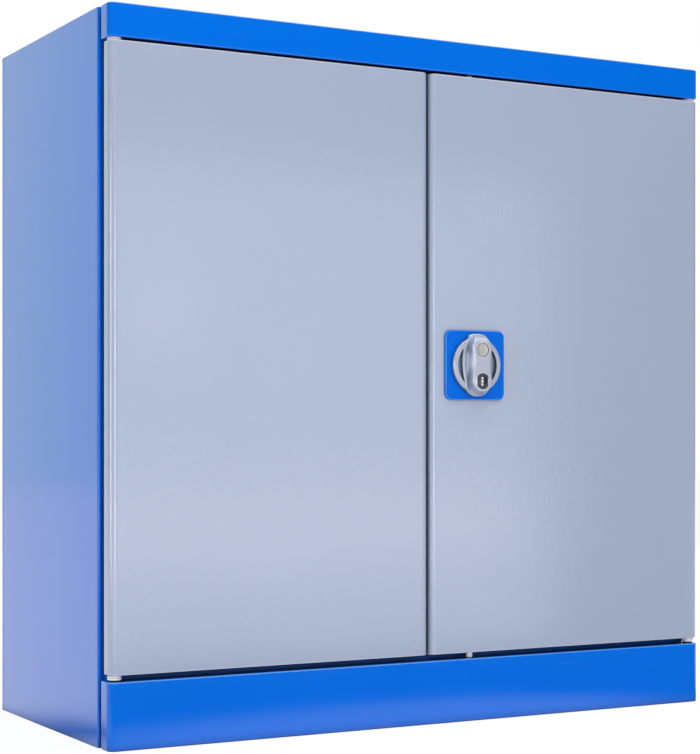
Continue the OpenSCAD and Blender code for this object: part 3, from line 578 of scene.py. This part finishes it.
# backFollows: the back edges follow the bends; lowBendLight: the painted highlight on the lower bend
fasciaSettings = {"edgeRadius": 8 * mm, "backRadius": 1.6 * mm, "bendRadius": 1.6 * mm,
                  "bendSteps": 5, "segments": 14, "lip": 9.2 * mm, "lipHeight": 0,
                  "backFollows": 0, "lowBendLight": 0.0}
rodLow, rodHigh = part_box("upper_rod")
rodX, rodY = (rodLow.x + rodHigh.x) / 2, (rodLow.y + rodHigh.y) / 2
rodHole = 5 * mm  # radius of the holes that the bolt rods pass


def buildFascia(side):
    node = side + "_fascia"
    low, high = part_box(node)
    fold = dict(fasciaSettings, x=0.0, y=low.y, z=low.z, width=high.x - low.x,
                depth=high.y - low.y, height=high.z - low.z)
    piece = foldedFront(side + "FasciaSheet", fold, bluePaint)
    doorSideZ = low.z if side == "top" else high.z
    drill(piece, [(rodX, rodY, doorSideZ, rodHole, 5 * mm, "Z")])
    flatFaces(piece)
    dress(piece, "carcass", "body_paint", node)


buildFascia("top")
buildFascia("bottom")
print("fascias folded")


doorSettings = {"edgeRadius": 8 * mm, "backRadius": 1.5 * mm, "bendRadius": 1.5 * mm,
                "bendSteps": 5, "segments": 14, "lip": 15 * mm, "lipHeight": 15 * mm,
                "backFollows": 1, "lowBendLight": 1.0, "spindleHole": 12.5 * mm}
knobAt = Vector((rodX, frontY, (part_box("spindle")[0].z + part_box("spindle")[1].z) / 2))


def buildDoor(side):
    low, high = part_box(side + "_door_skin")
    fold = dict(doorSettings, x=(low.x + high.x) / 2, y=low.y, z=low.z, width=high.x - low.x,
                depth=high.y - low.y, height=high.z - low.z)
    piece = foldedFront(side + "DoorSheet", fold, doorPaint)
    if side == "right":
        drill(piece, [(rodX, rodY, low.z, rodHole, 5 * mm, "Z"),
                      (rodX, rodY, high.z, rodHole, 5 * mm, "Z"),
                      (knobAt.x, low.y, knobAt.z, doorSettings["spindleHole"], 5 * mm, "Y")])
    flatFaces(piece)
    dress(piece, side + "_door", "door_paint", side + "_door_skin")


buildDoor("left")
buildDoor("right")
print("doors folded")


sideSettings = {"frontBend": 2.5 * mm, "rearBend": 1.6 * mm, "stepBend": 0.8 * mm,
                "rearFlange": 20 * mm, "step": 8 * mm, "setback": 32 * mm}


def buildSidePanel(side):
    node = side + "_side_panel"
    low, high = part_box(node)
    outer = -abs(low.x if side == "left" else high.x)
    front, rear = low.y, high.y
    setback = frontY + sideSettings["setback"]
    bend, tail, notch = (sideSettings[k] for k in ("frontBend", "rearBend", "stepBend"))
    stepX = outer + sideSettings["step"]
    plan = [(stepX, front)]
    plan += arc(stepX - notch, setback - notch, notch, 0, 90, 4)
    plan += list(reversed(arc(outer + bend, setback + bend, bend, 180, 270, 8)))
    plan += arc(outer + tail, rear - tail, tail, 180, 90, 6)
    plan += [(outer + sideSettings["rearFlange"], rear)]
    if side == "right":
        plan = [(-x, y) for x, y in reversed(plan)]
    plan.reverse()
    piece = foldedStrip(side + "SideSheet", plan, low.z, high.z, bluePaint)
    flatFaces(piece)
    dress(piece, "carcass", "body_paint", node)


buildSidePanel("left")
buildSidePanel("right")
print("side panels folded")


plateSettings = {"corner": 8 * mm, "edge": 1.3 * mm, "edgeSteps": 4, "hole": 12.1 * mm}


def buildLockPlate():
    low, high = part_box("lock_plate")
    half = (high.x - low.x) / 2
    centerX, centerZ = (low.x + high.x) / 2, (low.z + high.z) / 2
    corner, edge, steps = (plateSettings[k] for k in ("corner", "edge", "edgeSteps"))
    rows = [(0.0, high.y, 0.0), (0.0, low.y + edge, 0.0)]  # inset, y, painted highlight on the bend
    for k in range(1, steps + 1):
        turn = math.radians(90 * k / steps)
        rows.append((edge * (1 - math.cos(turn)), low.y + edge * (1 - math.sin(turn)),
                     math.sin(2 * turn)))
    bm = bmesh.new()
    # per-vertex strength of the painted highlight along the plate's bevel
    bendHighlightLayer = bm.verts.layers.float.new("bend")
    loops = []
    for inset, y, light in rows:
        loop = []
        for quarter in range(4):
            cx = (half - corner) * (1 if quarter in (0, 3) else -1)
            cz = (half - corner) * (1 if quarter in (0, 1) else -1)
            loop += arc(cx, cz, corner - inset, 90 * quarter, 90 * quarter + 90, 8)
        loops.append([bm.verts.new((centerX + px, y, centerZ + pz)) for px, pz in loop])
        for v in loops[-1]:
            v[bendHighlightLayer] = light
    joinLoops(bm, loops)
    bm.faces.new(loops[-1])
    bm.faces.new(list(reversed(loops[0])))
    bmesh.ops.recalc_face_normals(bm, faces=bm.faces)
    piece = makePiece("lockPlate", bm, platePaint)
    drill(piece, [(knobAt.x, low.y, knobAt.z, plateSettings["hole"], 12 * mm, "Y")])
    flatFaces(piece)
    dress(piece, "right_door", "plate_paint", "lock_plate")


buildLockPlate()
print("lock plate made")


knobSettings = {
    "disc": 33.0, "rim": 5.8, "rimRound": 1.6, "back": 3.8, "front": 8.5, "face": 20.0,
    "pocketGap": 0.7, "pocketDepth": 3.6, "pocketSlope": 0.9, "ribHeight": 1.0,
    "ribWidth": 0.9, "ribInset": 0.9, "ribFrom": 12.0, "scoop": 1.7, "faceHalf": 13.0,
    "waist": 1.8, "shoulder": 23.0, "faceTop": 33.0, "topHalf": 7.5, "faceEdge": 1.5,
    "faceEdgeDrop": 0.7, "slopeFrom": 25.5, "slopeDrop": 4.5, "slopeCurve": 1.3,
    "grooveAt": 32.2, "grooveDepth": 0.5, "grooveWidth": 0.45, "fillet": 0.8,
    "barrelDrop": 19.3, "barrelHole": 9.6, "capRise": 17.5, "capHole": 8.5,
    "hub": 12.0, "hubBack": -6.0, "chamfer": 0.5, "lipDrop": 0.4, "ribFade": 3.0,
    "pocketShade": 0.6, "flankShade": 0.75, "flankStart": 0.2, "flankFade": 1.2,
    "grooveShade": 0.6, "rings": 104, "ringCurve": 0.9, "sectors": 360,
}
# Right half of the grip's outline at its foot, in millimetres from the knob's axis
gripSide = [(11, 36.8), (12.6, 31), (17.8, 21), (19.6, 12), (20.2, 2), (18.6, -12), (16.4, -21),
            (16.2, -29.5), (9.5, -35.6), (0, -37.3)]


# Closed outline with every corner cut twice, which leaves soft curves
def softened(outline, passes=2):
    for _ in range(passes):
        cut = []
        for (ax, az), (bx, bz) in zip(outline, outline[1:] + outline[:1]):
            cut += [(0.75 * ax + 0.25 * bx, 0.75 * az + 0.25 * bz),
                    (0.25 * ax + 0.75 * bx, 0.25 * az + 0.75 * bz)]
        outline = cut
    return outline


gripBase = softened(gripSide + [(-x, z) for x, z in reversed(gripSide[:-1])])


def gripFace():
    s = knobSettings
    half, low, high = s["faceHalf"], -s["barrelDrop"], s["shoulder"]
    side = []
    for k in range(1, 17):
        share = k / 16
        side.append((half - s["waist"] * math.sin(math.pi * share) ** 2,
                     low + (high - low) * share))
    lower = arc(0, low, half, 180, 360, 24)
    left = [(-x, z) for x, z in reversed(side)]
    return lower + side + [(s["topHalf"], s["faceTop"]), (-s["topHalf"], s["faceTop"])] + left


# Distance from points to a closed outline, negative inside
def outlineDistance(points, outline):
    best = np.full(len(points), 1e9)
    inside = np.zeros(len(points), bool)
    for (ax, az), (bx, bz) in zip(outline, outline[1:] + outline[:1]):
        edge = np.array([bx - ax, bz - az])
        rel = points - np.array([ax, az])
        along = np.clip(rel @ edge / (edge @ edge), 0, 1)
        best = np.minimum(best, np.linalg.norm(rel - along[:, None] * edge, axis=1))
        crosses = (points[:, 1] < az) != (points[:, 1] < bz)
        with np.errstate(divide="ignore", invalid="ignore"):
            at = ax + (points[:, 1] - az) * (bx - ax) / (bz - az)
        inside ^= crosses & (points[:, 0] < at)
    return np.where(inside, -best, best)


def smoothStep(t):
    t = np.clip(t, 0, 1)
    return t * t * (3 - 2 * t)


# Height of the knob's front in millimetres out from the door face, and how strongly
# painted shade darkens its pockets, its flanks and its top groove
def knobRelief(points):
    s = knobSettings
    radius = np.linalg.norm(points, axis=1)
    base = outlineDistance(points, gripBase)
    face = outlineDistance(points, gripFace())
    pocket = np.maximum(radius - s["disc"] + s["rim"], s["pocketGap"] - base)
    relief = s["front"] - s["pocketDepth"] * smoothStep(-pocket / s["pocketSlope"])
    edge = np.clip((radius - s["disc"] + s["rimRound"]) / s["rimRound"], 0, 1)
    relief -= s["rimRound"] * (1 - np.sqrt(1 - edge ** 2)) * (radius <= s["disc"] + 0.01)
    beside = smoothStep((np.abs(points[:, 0]) - s["ribFrom"]) / s["ribFade"])
    depth = np.maximum(-base - 2 * s["ribWidth"] * beside, 0)
    rise = np.clip(depth / np.maximum(depth + np.maximum(face, 0), 1e-6), 0, 1)
    endDrop = np.clip((points[:, 1] - s["slopeFrom"]) / (s["faceTop"] + 1 - s["slopeFrom"]), 0, 1)
    crest = s["face"] - s["slopeDrop"] * endDrop ** s["slopeCurve"]
    groove = np.exp(-((points[:, 1] - s["grooveAt"]) / s["grooveWidth"]) ** 2)
    groove *= smoothStep(s["topHalf"] + 0.5 - np.abs(points[:, 0]))
    crest -= s["grooveDepth"] * groove
    wall = s["front"] + (crest - s["front"]) * rise ** s["scoop"]
    roundOff = np.clip((face + s["faceEdge"]) / s["faceEdge"], 0, 1)
    top = crest - s["faceEdgeDrop"] * roundOff ** 2
    grip = np.where(base < 0, np.minimum(wall, top), 0)
    fillet = s["fillet"]
    near = np.clip((fillet - np.abs(grip - relief)) / fillet, 0, 1)
    lower = np.maximum(grip, relief) + near * near * fillet * 0.25
    rib = s["ribHeight"] * beside * np.exp(-((base + s["ribInset"]) / s["ribWidth"]) ** 2)
    height = np.minimum(lower + rib * (lower < s["front"] + 3), s["face"])
    flank = smoothStep(rise / 0.25) * smoothStep((face - s["flankStart"]) / s["flankFade"])
    flank *= beside * (base < 0)
    # painted shade: darker in the pockets, on the grip's flanks and in the groove
    hollowShade = smoothStep(-pocket / (s["pocketShade"] * s["pocketSlope"]))
    dull = np.maximum(hollowShade, s["flankShade"] * flank)
    return height, np.maximum(dull, s["grooveShade"] * groove * (base < 0))


# How far the knob's outline reaches in a direction
def knobReach(turn):
    direction = np.array([math.cos(turn), math.sin(turn)])
    reach = knobSettings["disc"]
    for (ax, az), (bx, bz) in zip(gripBase, gripBase[1:] + gripBase[:1]):
        across = np.array([[direction[0], ax - bx], [direction[1], az - bz]])
        if abs(np.linalg.det(across)) > 1e-9:
            along, part = np.linalg.solve(across, np.array([ax, az]))
            if along > 0 and -1e-9 <= part <= 1 + 1e-9:
                reach = max(reach, along)
    return reach


def buildKnob():
    s = knobSettings
    turns = [2 * math.pi * i / s["sectors"] for i in range(s["sectors"])]
    reaches = [knobReach(t) for t in turns]
    shares = [(k / s["rings"]) ** s["ringCurve"] for k in range(1, s["rings"] + 1)]
    flat = np.array([(r * f * math.cos(t), r * f * math.sin(t))
                     for f in shares for t, r in zip(turns, reaches)])
    heights, hollowShades = knobRelief(flat)
    overhang = np.array([r > s["disc"] + 0.01 for r in reaches])
    bm = bmesh.new()
    # per-vertex strength of the painted shade in the knob's hollows
    hollowShadeLayer = bm.verts.layers.float.new("hollowShadeMask")

    def vert(px, pz, out):
        return bm.verts.new((knobAt.x + px * mm, knobAt.y - out * mm, knobAt.z + pz * mm))

    loops = [[vert(0, 0, s["face"])]]
    for k in range(s["rings"]):
        start = k * s["sectors"]
        loop = []
        for i in range(s["sectors"]):
            out = heights[start + i]
            if k == s["rings"] - 1 and overhang[i]:
                out = s["front"] - s["lipDrop"]
            loop.append(vert(flat[start + i][0], flat[start + i][1], out))
            loop[-1][hollowShadeLayer] = hollowShades[start + i]
        loops.append(loop)
    cut, hub = s["chamfer"], s["hub"]
    for inset, out in ((0.0, s["back"] + cut), (cut, s["back"])):
        loops.append([vert((r - inset) * math.cos(t), (r - inset) * math.sin(t), out)
                      for t, r in zip(turns, reaches)])
    for radius, out in ((hub, s["back"]), (hub, s["hubBack"] + cut), (hub - cut, s["hubBack"])):
        loops.append([vert(radius * math.cos(t), radius * math.sin(t), out) for t in turns])
    joinLoops(bm, loops)
    bm.faces.new(list(reversed(loops[-1])))
    bmesh.ops.recalc_face_normals(bm, faces=bm.faces)
    piece = makePiece("rotaryKnob", bm, knobSilver)
    drill(piece, [(knobAt.x, knobAt.y - 16 * mm, knobAt.z - s["barrelDrop"] * mm,
                   s["barrelHole"] * mm, 12 * mm, "Y"),
                  (knobAt.x, knobAt.y - 20.4 * mm, knobAt.z + s["capRise"] * mm,
                   s["capHole"] * mm, 4 * mm, "Y")])
    settle(piece, 50.0)
    dress(piece, "knob_body", "knob_metal", "knob")


buildKnob()
print("knob shaped")


# Turned piece on an axis along Y; profile points are (radius, distance out) in millimetres
def turnedPiece(name, profile, centerX, centerZ, material, sectors=64):
    bm = bmesh.new()
    turns = [2 * math.pi * i / sectors for i in range(sectors)]
    rings = [[bm.verts.new((centerX + radius * mm * math.cos(t), frontY - out * mm,
                            centerZ + radius * mm * math.sin(t)))
              for t in (turns if radius else turns[:1])] for radius, out in profile]
    joinLoops(bm, rings)
    bmesh.ops.recalc_face_normals(bm, faces=bm.faces)
    markSmooth(bm, 40)
    return makePiece(name, bm, material)


barrelZ = knobAt.z - knobSettings["barrelDrop"] * mm
barrelSettings = {
    "rim": [(6.05, 7.4), (9.5, 7.4), (9.5, 18.9), (9.3, 19.2), (8.7, 19.3), (6.3, 19.25),
            (6.05, 19.1), (6.05, 7.4)],
    "face": [(6.05, 19.1), (9.25, 19.1), (9.25, 19.6), (9.1, 19.8), (6.3, 19.8), (6.05, 19.6),
             (6.05, 19.1)],
    "plug": [(0, 7.4), (5.6, 7.4), (5.95, 7.8), (5.95, 19.35), (5.75, 19.6), (5.4, 19.7),
             (0, 19.7)],
    "flat": 7.4, "flatCut": (6, 4, 24), "keyway": (4.2, 8, 11.4), "keywayRound": 0.5,
    "cutMiddle": 19.5, "wafer": (4.0, 2.0, 3.2), "waferMiddle": 18.5,
    "waferAt": (3.5, -0.2, -3.9),
}
capProfile = [(0, 18.3), (7.5, 18.3), (7.7, 18.6), (7.7, 19.6), (7.4, 19.85), (6.9, 19.8),
              (6.4, 19.5), (6.0, 19.35), (2.5, 19.5), (0, 19.55)]


# Cuts a box out of a piece, its size and the rounding along Y in millimetres
def cutBox(piece, centre, size, rounding=0.0):
    bm = bmesh.new()
    bmesh.ops.create_cube(bm, size=1)
    for v in bm.verts:
        v.co = Vector(v.co[k] * size[k] * mm for k in range(3))
    if rounding:
        along = [e for e in bm.edges if abs(e.verts[0].co.y - e.verts[1].co.y) > mm]
        bmesh.ops.bevel(bm, geom=along, offset=rounding * mm, segments=4, profile=0.5,
                        affect="EDGES")
    cutter = makePiece("cutter", bm, piece.data.materials[0])
    cutter.location = centre
    subtract(piece, cutter)


def buildBarrel():
    s = barrelSettings
    rim = turnedPiece("lockBarrelRim", s["rim"], knobAt.x, barrelZ, brightSteel)
    dress(rim, "knob_body", "bright_steel", "lock_barrel")
    face = turnedPiece("lockBarrelFace", s["face"], knobAt.x, barrelZ, barrelDark)
    for side in (-1, 1):
        offset = side * (s["flat"] + s["flatCut"][0] / 2)
        cutBox(face, (knobAt.x + offset * mm, frontY - s["cutMiddle"] * mm, barrelZ),
               s["flatCut"])
    dress(face, "knob_body", "dark_steel")
    plug = turnedPiece("lockPlug", s["plug"], knobAt.x, barrelZ, barrelDark)
    cutBox(plug, (knobAt.x, frontY - s["cutMiddle"] * mm, barrelZ), s["keyway"],
           s["keywayRound"])
    dress(plug, "plug", "dark_steel", "lock_plug")
    bm = bmesh.new()
    width, depth, height = s["wafer"]
    for rise in s["waferAt"]:
        ball = bmesh.ops.create_uvsphere(bm, u_segments=20, v_segments=12, radius=0.5)
        for v in ball["verts"]:
            v.co = Vector((knobAt.x + v.co.x * width * mm,
                           frontY + (v.co.y * depth - s["waferMiddle"]) * mm,
                           barrelZ + (v.co.z * height + rise) * mm))
    markSmooth(bm)
    wafers = makePiece("keywayWafers", bm, brightSteel)
    dress(wafers, "plug", "bright_steel")


buildBarrel()
badgeCap = turnedPiece("badgeCap", capProfile, knobAt.x,
                       knobAt.z + knobSettings["capRise"] * mm, capSilver)
dress(badgeCap, "knob_body", "knob_metal", "knob_cap")
print("lock barrel and cap turned")


# The other solids keep their CAD shape
cadSettings = {"weld": 0.00001, "flatAngle": math.radians(1.0), "bevelAngle": math.radians(40)}
bevelOf = {  # width of the softened edges in millimetres
    "roof_panel": 0.5, "floor_panel": 0.4, "back_panel": 0.35, "left_front_post": 0.5,
    "right_front_post": 0.5, "top_stop_rail": 0.4, "bottom_stop_rail": 0.4,
    "lower_shelf": 0.5, "upper_shelf": 0.5, "left_door_stiffener": 0.4,
    "right_door_stiffener": 0.4, "shelf_clips": 0.3, "wall_fixing_pads": 0.4,
    "hinge_washers": 0.25, "left_door_bushes": 0.2, "right_door_bushes": 0.2,
    "hinge_pins": 0.4, "lock_case": 0.5, "lock_case_screws": 0.3, "rod_guides": 0.5,
    "tongue": 0.4, "tongue_keeper": 0.35, "tongue_keeper_rivets": 0.3, "tongue_screw": 0.35,
    "upper_rod": 0.8, "lower_rod": 0.8, "door_buffers": 0.6, "hinge_spacers": 0.2,
}
slotOf = {row["node"]: row["material_slot"] for row in frame["record"]["subparts"]}
for name, node in frame["nodes"].items():
    if node.hide_render:  # a finer piece stands for it
        continue
    material = slotMaterial[slotOf[name]]
    if node.data.materials:
        for i in range(len(node.data.materials)):
            node.data.materials[i] = material
    else:
        node.data.materials.append(material)
    if name in bevelOf:
        weld = node.modifiers.new("weld", "WELD")
        weld.merge_threshold = cadSettings["weld"]
        plain = node.modifiers.new("plainFaces", "DECIMATE")
        plain.decimate_type = "DISSOLVE"
        plain.angle_limit = cadSettings["flatAngle"]
        bevel = node.modifiers.new("softEdge", "BEVEL")
        bevel.width = bevelOf[name] * mm
        bevel.segments = 2
        bevel.limit_method = "ANGLE"
        bevel.angle_limit = cadSettings["bevelAngle"]
        bevel.harden_normals = False
        normals = node.modifiers.new("flatFaces", "WEIGHTED_NORMAL")
        normals.weight = 100
print("solids dressed:", len(bevelOf))


# How bright the floor is in reflections: near the cabinet, beside it, far to the front left,
# behind it, and in the dark band between
floorSettings = {
    "color": srgb(240, 241, 243), "whiteShare": 0.84, "whiteLevel": 1.09, "nearGlow": 1.3,
    "besideGlow": 0.85, "midGlow": 0.03, "farGlow": 1.4, "behindGlow": 1.18,
    "nearAt": (0.05, -0.165), "nearReach": (0.38, 0.60, 0.21), "nearEdge": (0.55, 1.15),
    "leftEdge": (-0.50, -0.42), "leftFront": (-0.42, -0.18), "farEdge": (-1.0, -0.8),
    "farSlant": 0.7, "farSide": (0.0, 0.13), "rightSlant": 0.88, "rightEdge": (0.32, 0.42),
    "behindEdge": (-0.10, 0.25),
}


def buildFloor():
    s = floorSettings
    bm = bmesh.new()
    bmesh.ops.create_grid(bm, x_segments=2, y_segments=2, size=9.0)
    material, tree, shader = startMaterial("studioFloor")
    grain = place(tree, fineGrain, Grain_Size=0.002, Roughness=0.7, Spread=0.1)
    film = place(tree, paintFilm, Color=s["color"], Cloud=0.01, Specks=0.01)
    tree.links.new(film.outputs["Color"], shader.inputs["Base Color"])
    tree.links.new(grain.outputs["Roughness"], shader.inputs["Roughness"])
    shader.inputs["Specular IOR Level"].default_value = 0.1
    path = tree.nodes.new("ShaderNodeLightPath")
    where = addNode(tree, "ShaderNodeSeparateXYZ", Vector=objectPoint(tree))
    x, y = where.outputs["X"], where.outputs["Y"]

    def slanted(slant):
        return calc(tree, "ADD", x, calc(tree, "MULTIPLY", y, slant))

    (nearX, nearY), (reachRight, reachLeft, reachFront) = s["nearAt"], s["nearReach"]
    aside = calc(tree, "SUBTRACT", x, nearX)
    across = calc(tree, "MAXIMUM", calc(tree, "DIVIDE", aside, reachRight),
                  calc(tree, "DIVIDE", aside, -reachLeft))
    along = calc(tree, "DIVIDE", calc(tree, "SUBTRACT", y, nearY), reachFront)
    away = calc(tree, "SQRT", calc(tree, "ADD", calc(tree, "MULTIPLY", across, across),
                                   calc(tree, "MULTIPLY", along, along)))
    patch = ramp(tree, away, *s["nearEdge"], s["nearGlow"], s["midGlow"])
    beside = calc(tree, "MULTIPLY", ramp(tree, x, *s["leftEdge"], 1.0, 0.0),
                  ramp(tree, y, *s["leftFront"], 0.0, s["besideGlow"]))
    far = calc(tree, "MULTIPLY", ramp(tree, y, *s["farEdge"], s["farGlow"], 0.0),
               ramp(tree, slanted(s["farSlant"]), *s["farSide"], 1.0, 0.0))
    right = ramp(tree, slanted(s["rightSlant"]), *s["rightEdge"], 0.0, s["besideGlow"])
    front = calc(tree, "MAXIMUM", calc(tree, "MAXIMUM", patch, beside),
                 calc(tree, "MAXIMUM", far, right))
    behind = ramp(tree, y, *s["behindEdge"])
    gloss = calc(tree, "ADD", front, calc(
        tree, "MULTIPLY", behind, calc(tree, "SUBTRACT", s["behindGlow"], front)))
    white = calc(tree, "MULTIPLY", path.outputs["Is Camera Ray"], s["whiteLevel"])
    level = calc(tree, "ADD", white, calc(
        tree, "MULTIPLY", path.outputs["Is Glossy Ray"], gloss))
    glow = addNode(tree, "ShaderNodeEmission", Color=(1, 1, 1, 1), Strength=level)
    share = calc(tree, "ADD", path.outputs["Is Glossy Ray"], calc(
        tree, "MULTIPLY", path.outputs["Is Camera Ray"], s["whiteShare"]), clamp=True)
    mix = tree.nodes.new("ShaderNodeMixShader")
    tree.links.new(share, mix.inputs[0])
    tree.links.new(shader.outputs[0], mix.inputs[1])
    tree.links.new(glow.outputs[0], mix.inputs[2])
    tree.links.new(mix.outputs[0], tree.nodes["Material Output"].inputs["Surface"])
    floor = makePiece("studioFloor", bm, material)
    floor.location.z = -0.3 * mm


# The walls in reflections: dark in front, bright behind and high up
worldSettings = {"ambient": 0.24, "frontGloss": 0.02, "highGloss": 0.7, "backGloss": 1.0,
                 "backTint": (0.95, 1.09, 1.0, 1.0), "backEdge": (0.35, 0.85),
                 "sideEdge": (-0.42, -0.28), "sideLevels": (0.88, 1.04),
                 "highEdge": (0.22, 0.34)}


def buildWorld():
    s = worldSettings
    world = bpy.data.worlds.new("studioWorld")
    bpy.context.scene.world = world
    world.use_nodes = True
    tree = world.node_tree
    tree.nodes.clear()
    coords = tree.nodes.new("ShaderNodeTexCoord")
    axes = addNode(tree, "ShaderNodeSeparateXYZ", Vector=coords.outputs["Generated"])
    behind = ramp(tree, axes.outputs["Y"], *s["backEdge"])
    aside = ramp(tree, axes.outputs["X"], *s["sideEdge"], *s["sideLevels"])
    above = ramp(tree, axes.outputs["Z"], *s["highEdge"], 0.0, s["highGloss"])
    gloss = calc(tree, "ADD", s["frontGloss"], calc(
        tree, "MULTIPLY", calc(tree, "MULTIPLY", behind, aside), s["backGloss"]))
    gloss = calc(tree, "MAXIMUM", gloss, above)
    path = tree.nodes.new("ShaderNodeLightPath")
    mirror = calc(tree, "MAXIMUM", path.outputs["Is Glossy Ray"],
                  path.outputs["Is Transmission Ray"])
    level = calc(tree, "ADD", s["ambient"], calc(
        tree, "MULTIPLY", mirror, calc(tree, "SUBTRACT", gloss, s["ambient"])))
    level = calc(tree, "MAXIMUM", level, path.outputs["Is Camera Ray"])
    tint = mixColor(tree, calc(tree, "MULTIPLY", mirror, behind), (1, 1, 1, 1), s["backTint"])
    background = addNode(tree, "ShaderNodeBackground", Color=tint, Strength=level)
    world.cycles.sampling_method = "NONE"  # keeps the ambient light out of reflections
    output = tree.nodes.new("ShaderNodeOutputWorld")
    tree.links.new(background.outputs[0], output.inputs["Surface"])


# gloss: whether reflections show the lamp
lampSettings = {
    "keySoftbox": {"at": (-0.76, -2.74, 0.45), "size": (0.55, 0.95), "power": 13.0,
                   "gloss": True},
    "leftSoftbox": {"at": (-2.70, -0.75, 0.50), "size": (0.9, 1.0), "power": 12.5,
                    "gloss": True},
    "frontCard": {"at": (1.15, -2.6, 0.52), "size": (1.45, 1.04), "power": 5.8, "gloss": True,
                  "aim": (1.15, 0.0, 0.52)},
    "highFill": {"at": (-0.6, -1.7, 1.9), "size": (1.4, 0.9), "power": 8.0, "gloss": False},
    "backFill": {"at": (0.9, 2.6, 1.3), "size": (1.6, 1.6), "power": 34.0, "gloss": False},
    "sideFill": {"at": (2.9, 0.35, 0.9), "size": (1.4, 1.4), "power": 30.0, "gloss": False},
    "sparkLamp": {"at": (0.53, -2.17, 0.615), "size": (0.16, 0.15), "power": 0.07,
                  "gloss": True},
    "topSoftbox": {"at": (0.0, -0.9, 2.6), "size": (3.3, 1.8), "power": 29.0, "gloss": True},
}


def buildLamps():
    middle = (0.0, 0.0, 0.40)  # of the cabinet
    for name, lamp in lampSettings.items():
        light = bpy.data.lights.new(name, "AREA")
        light.shape = "RECTANGLE"
        light.size, light.size_y = lamp["size"]
        light.energy = lamp["power"]
        holder = bpy.data.objects.new(name, light)
        holder.location = lamp["at"]
        aim = Vector(lamp.get("aim", middle))
        holder.rotation_euler = (aim - holder.location).to_track_quat("-Z", "Y").to_euler()
        holder.visible_glossy = lamp["gloss"]
        holder.visible_camera = False
        bpy.context.scene.collection.objects.link(holder)


cameraSettings = {"at": (-1.1412, -2.0127, 0.3404), "turn": -28.393, "lens": 88.81,
                  "shift": (0.0369, 0.0739)}


def buildCamera():
    data = bpy.data.cameras.new("photoCamera")
    data.lens = cameraSettings["lens"]
    data.sensor_width = 36
    data.shift_x, data.shift_y = cameraSettings["shift"]
    camera = bpy.data.objects.new("photoCamera", data)
    camera.location = cameraSettings["at"]
    camera.rotation_euler = (math.radians(90), 0, math.radians(cameraSettings["turn"]))
    bpy.context.scene.collection.objects.link(camera)
    bpy.context.scene.camera = camera


buildFloor()
buildWorld()
buildLamps()
buildCamera()
bpy.context.scene.view_settings.view_transform = "Standard"
print("studio ready")
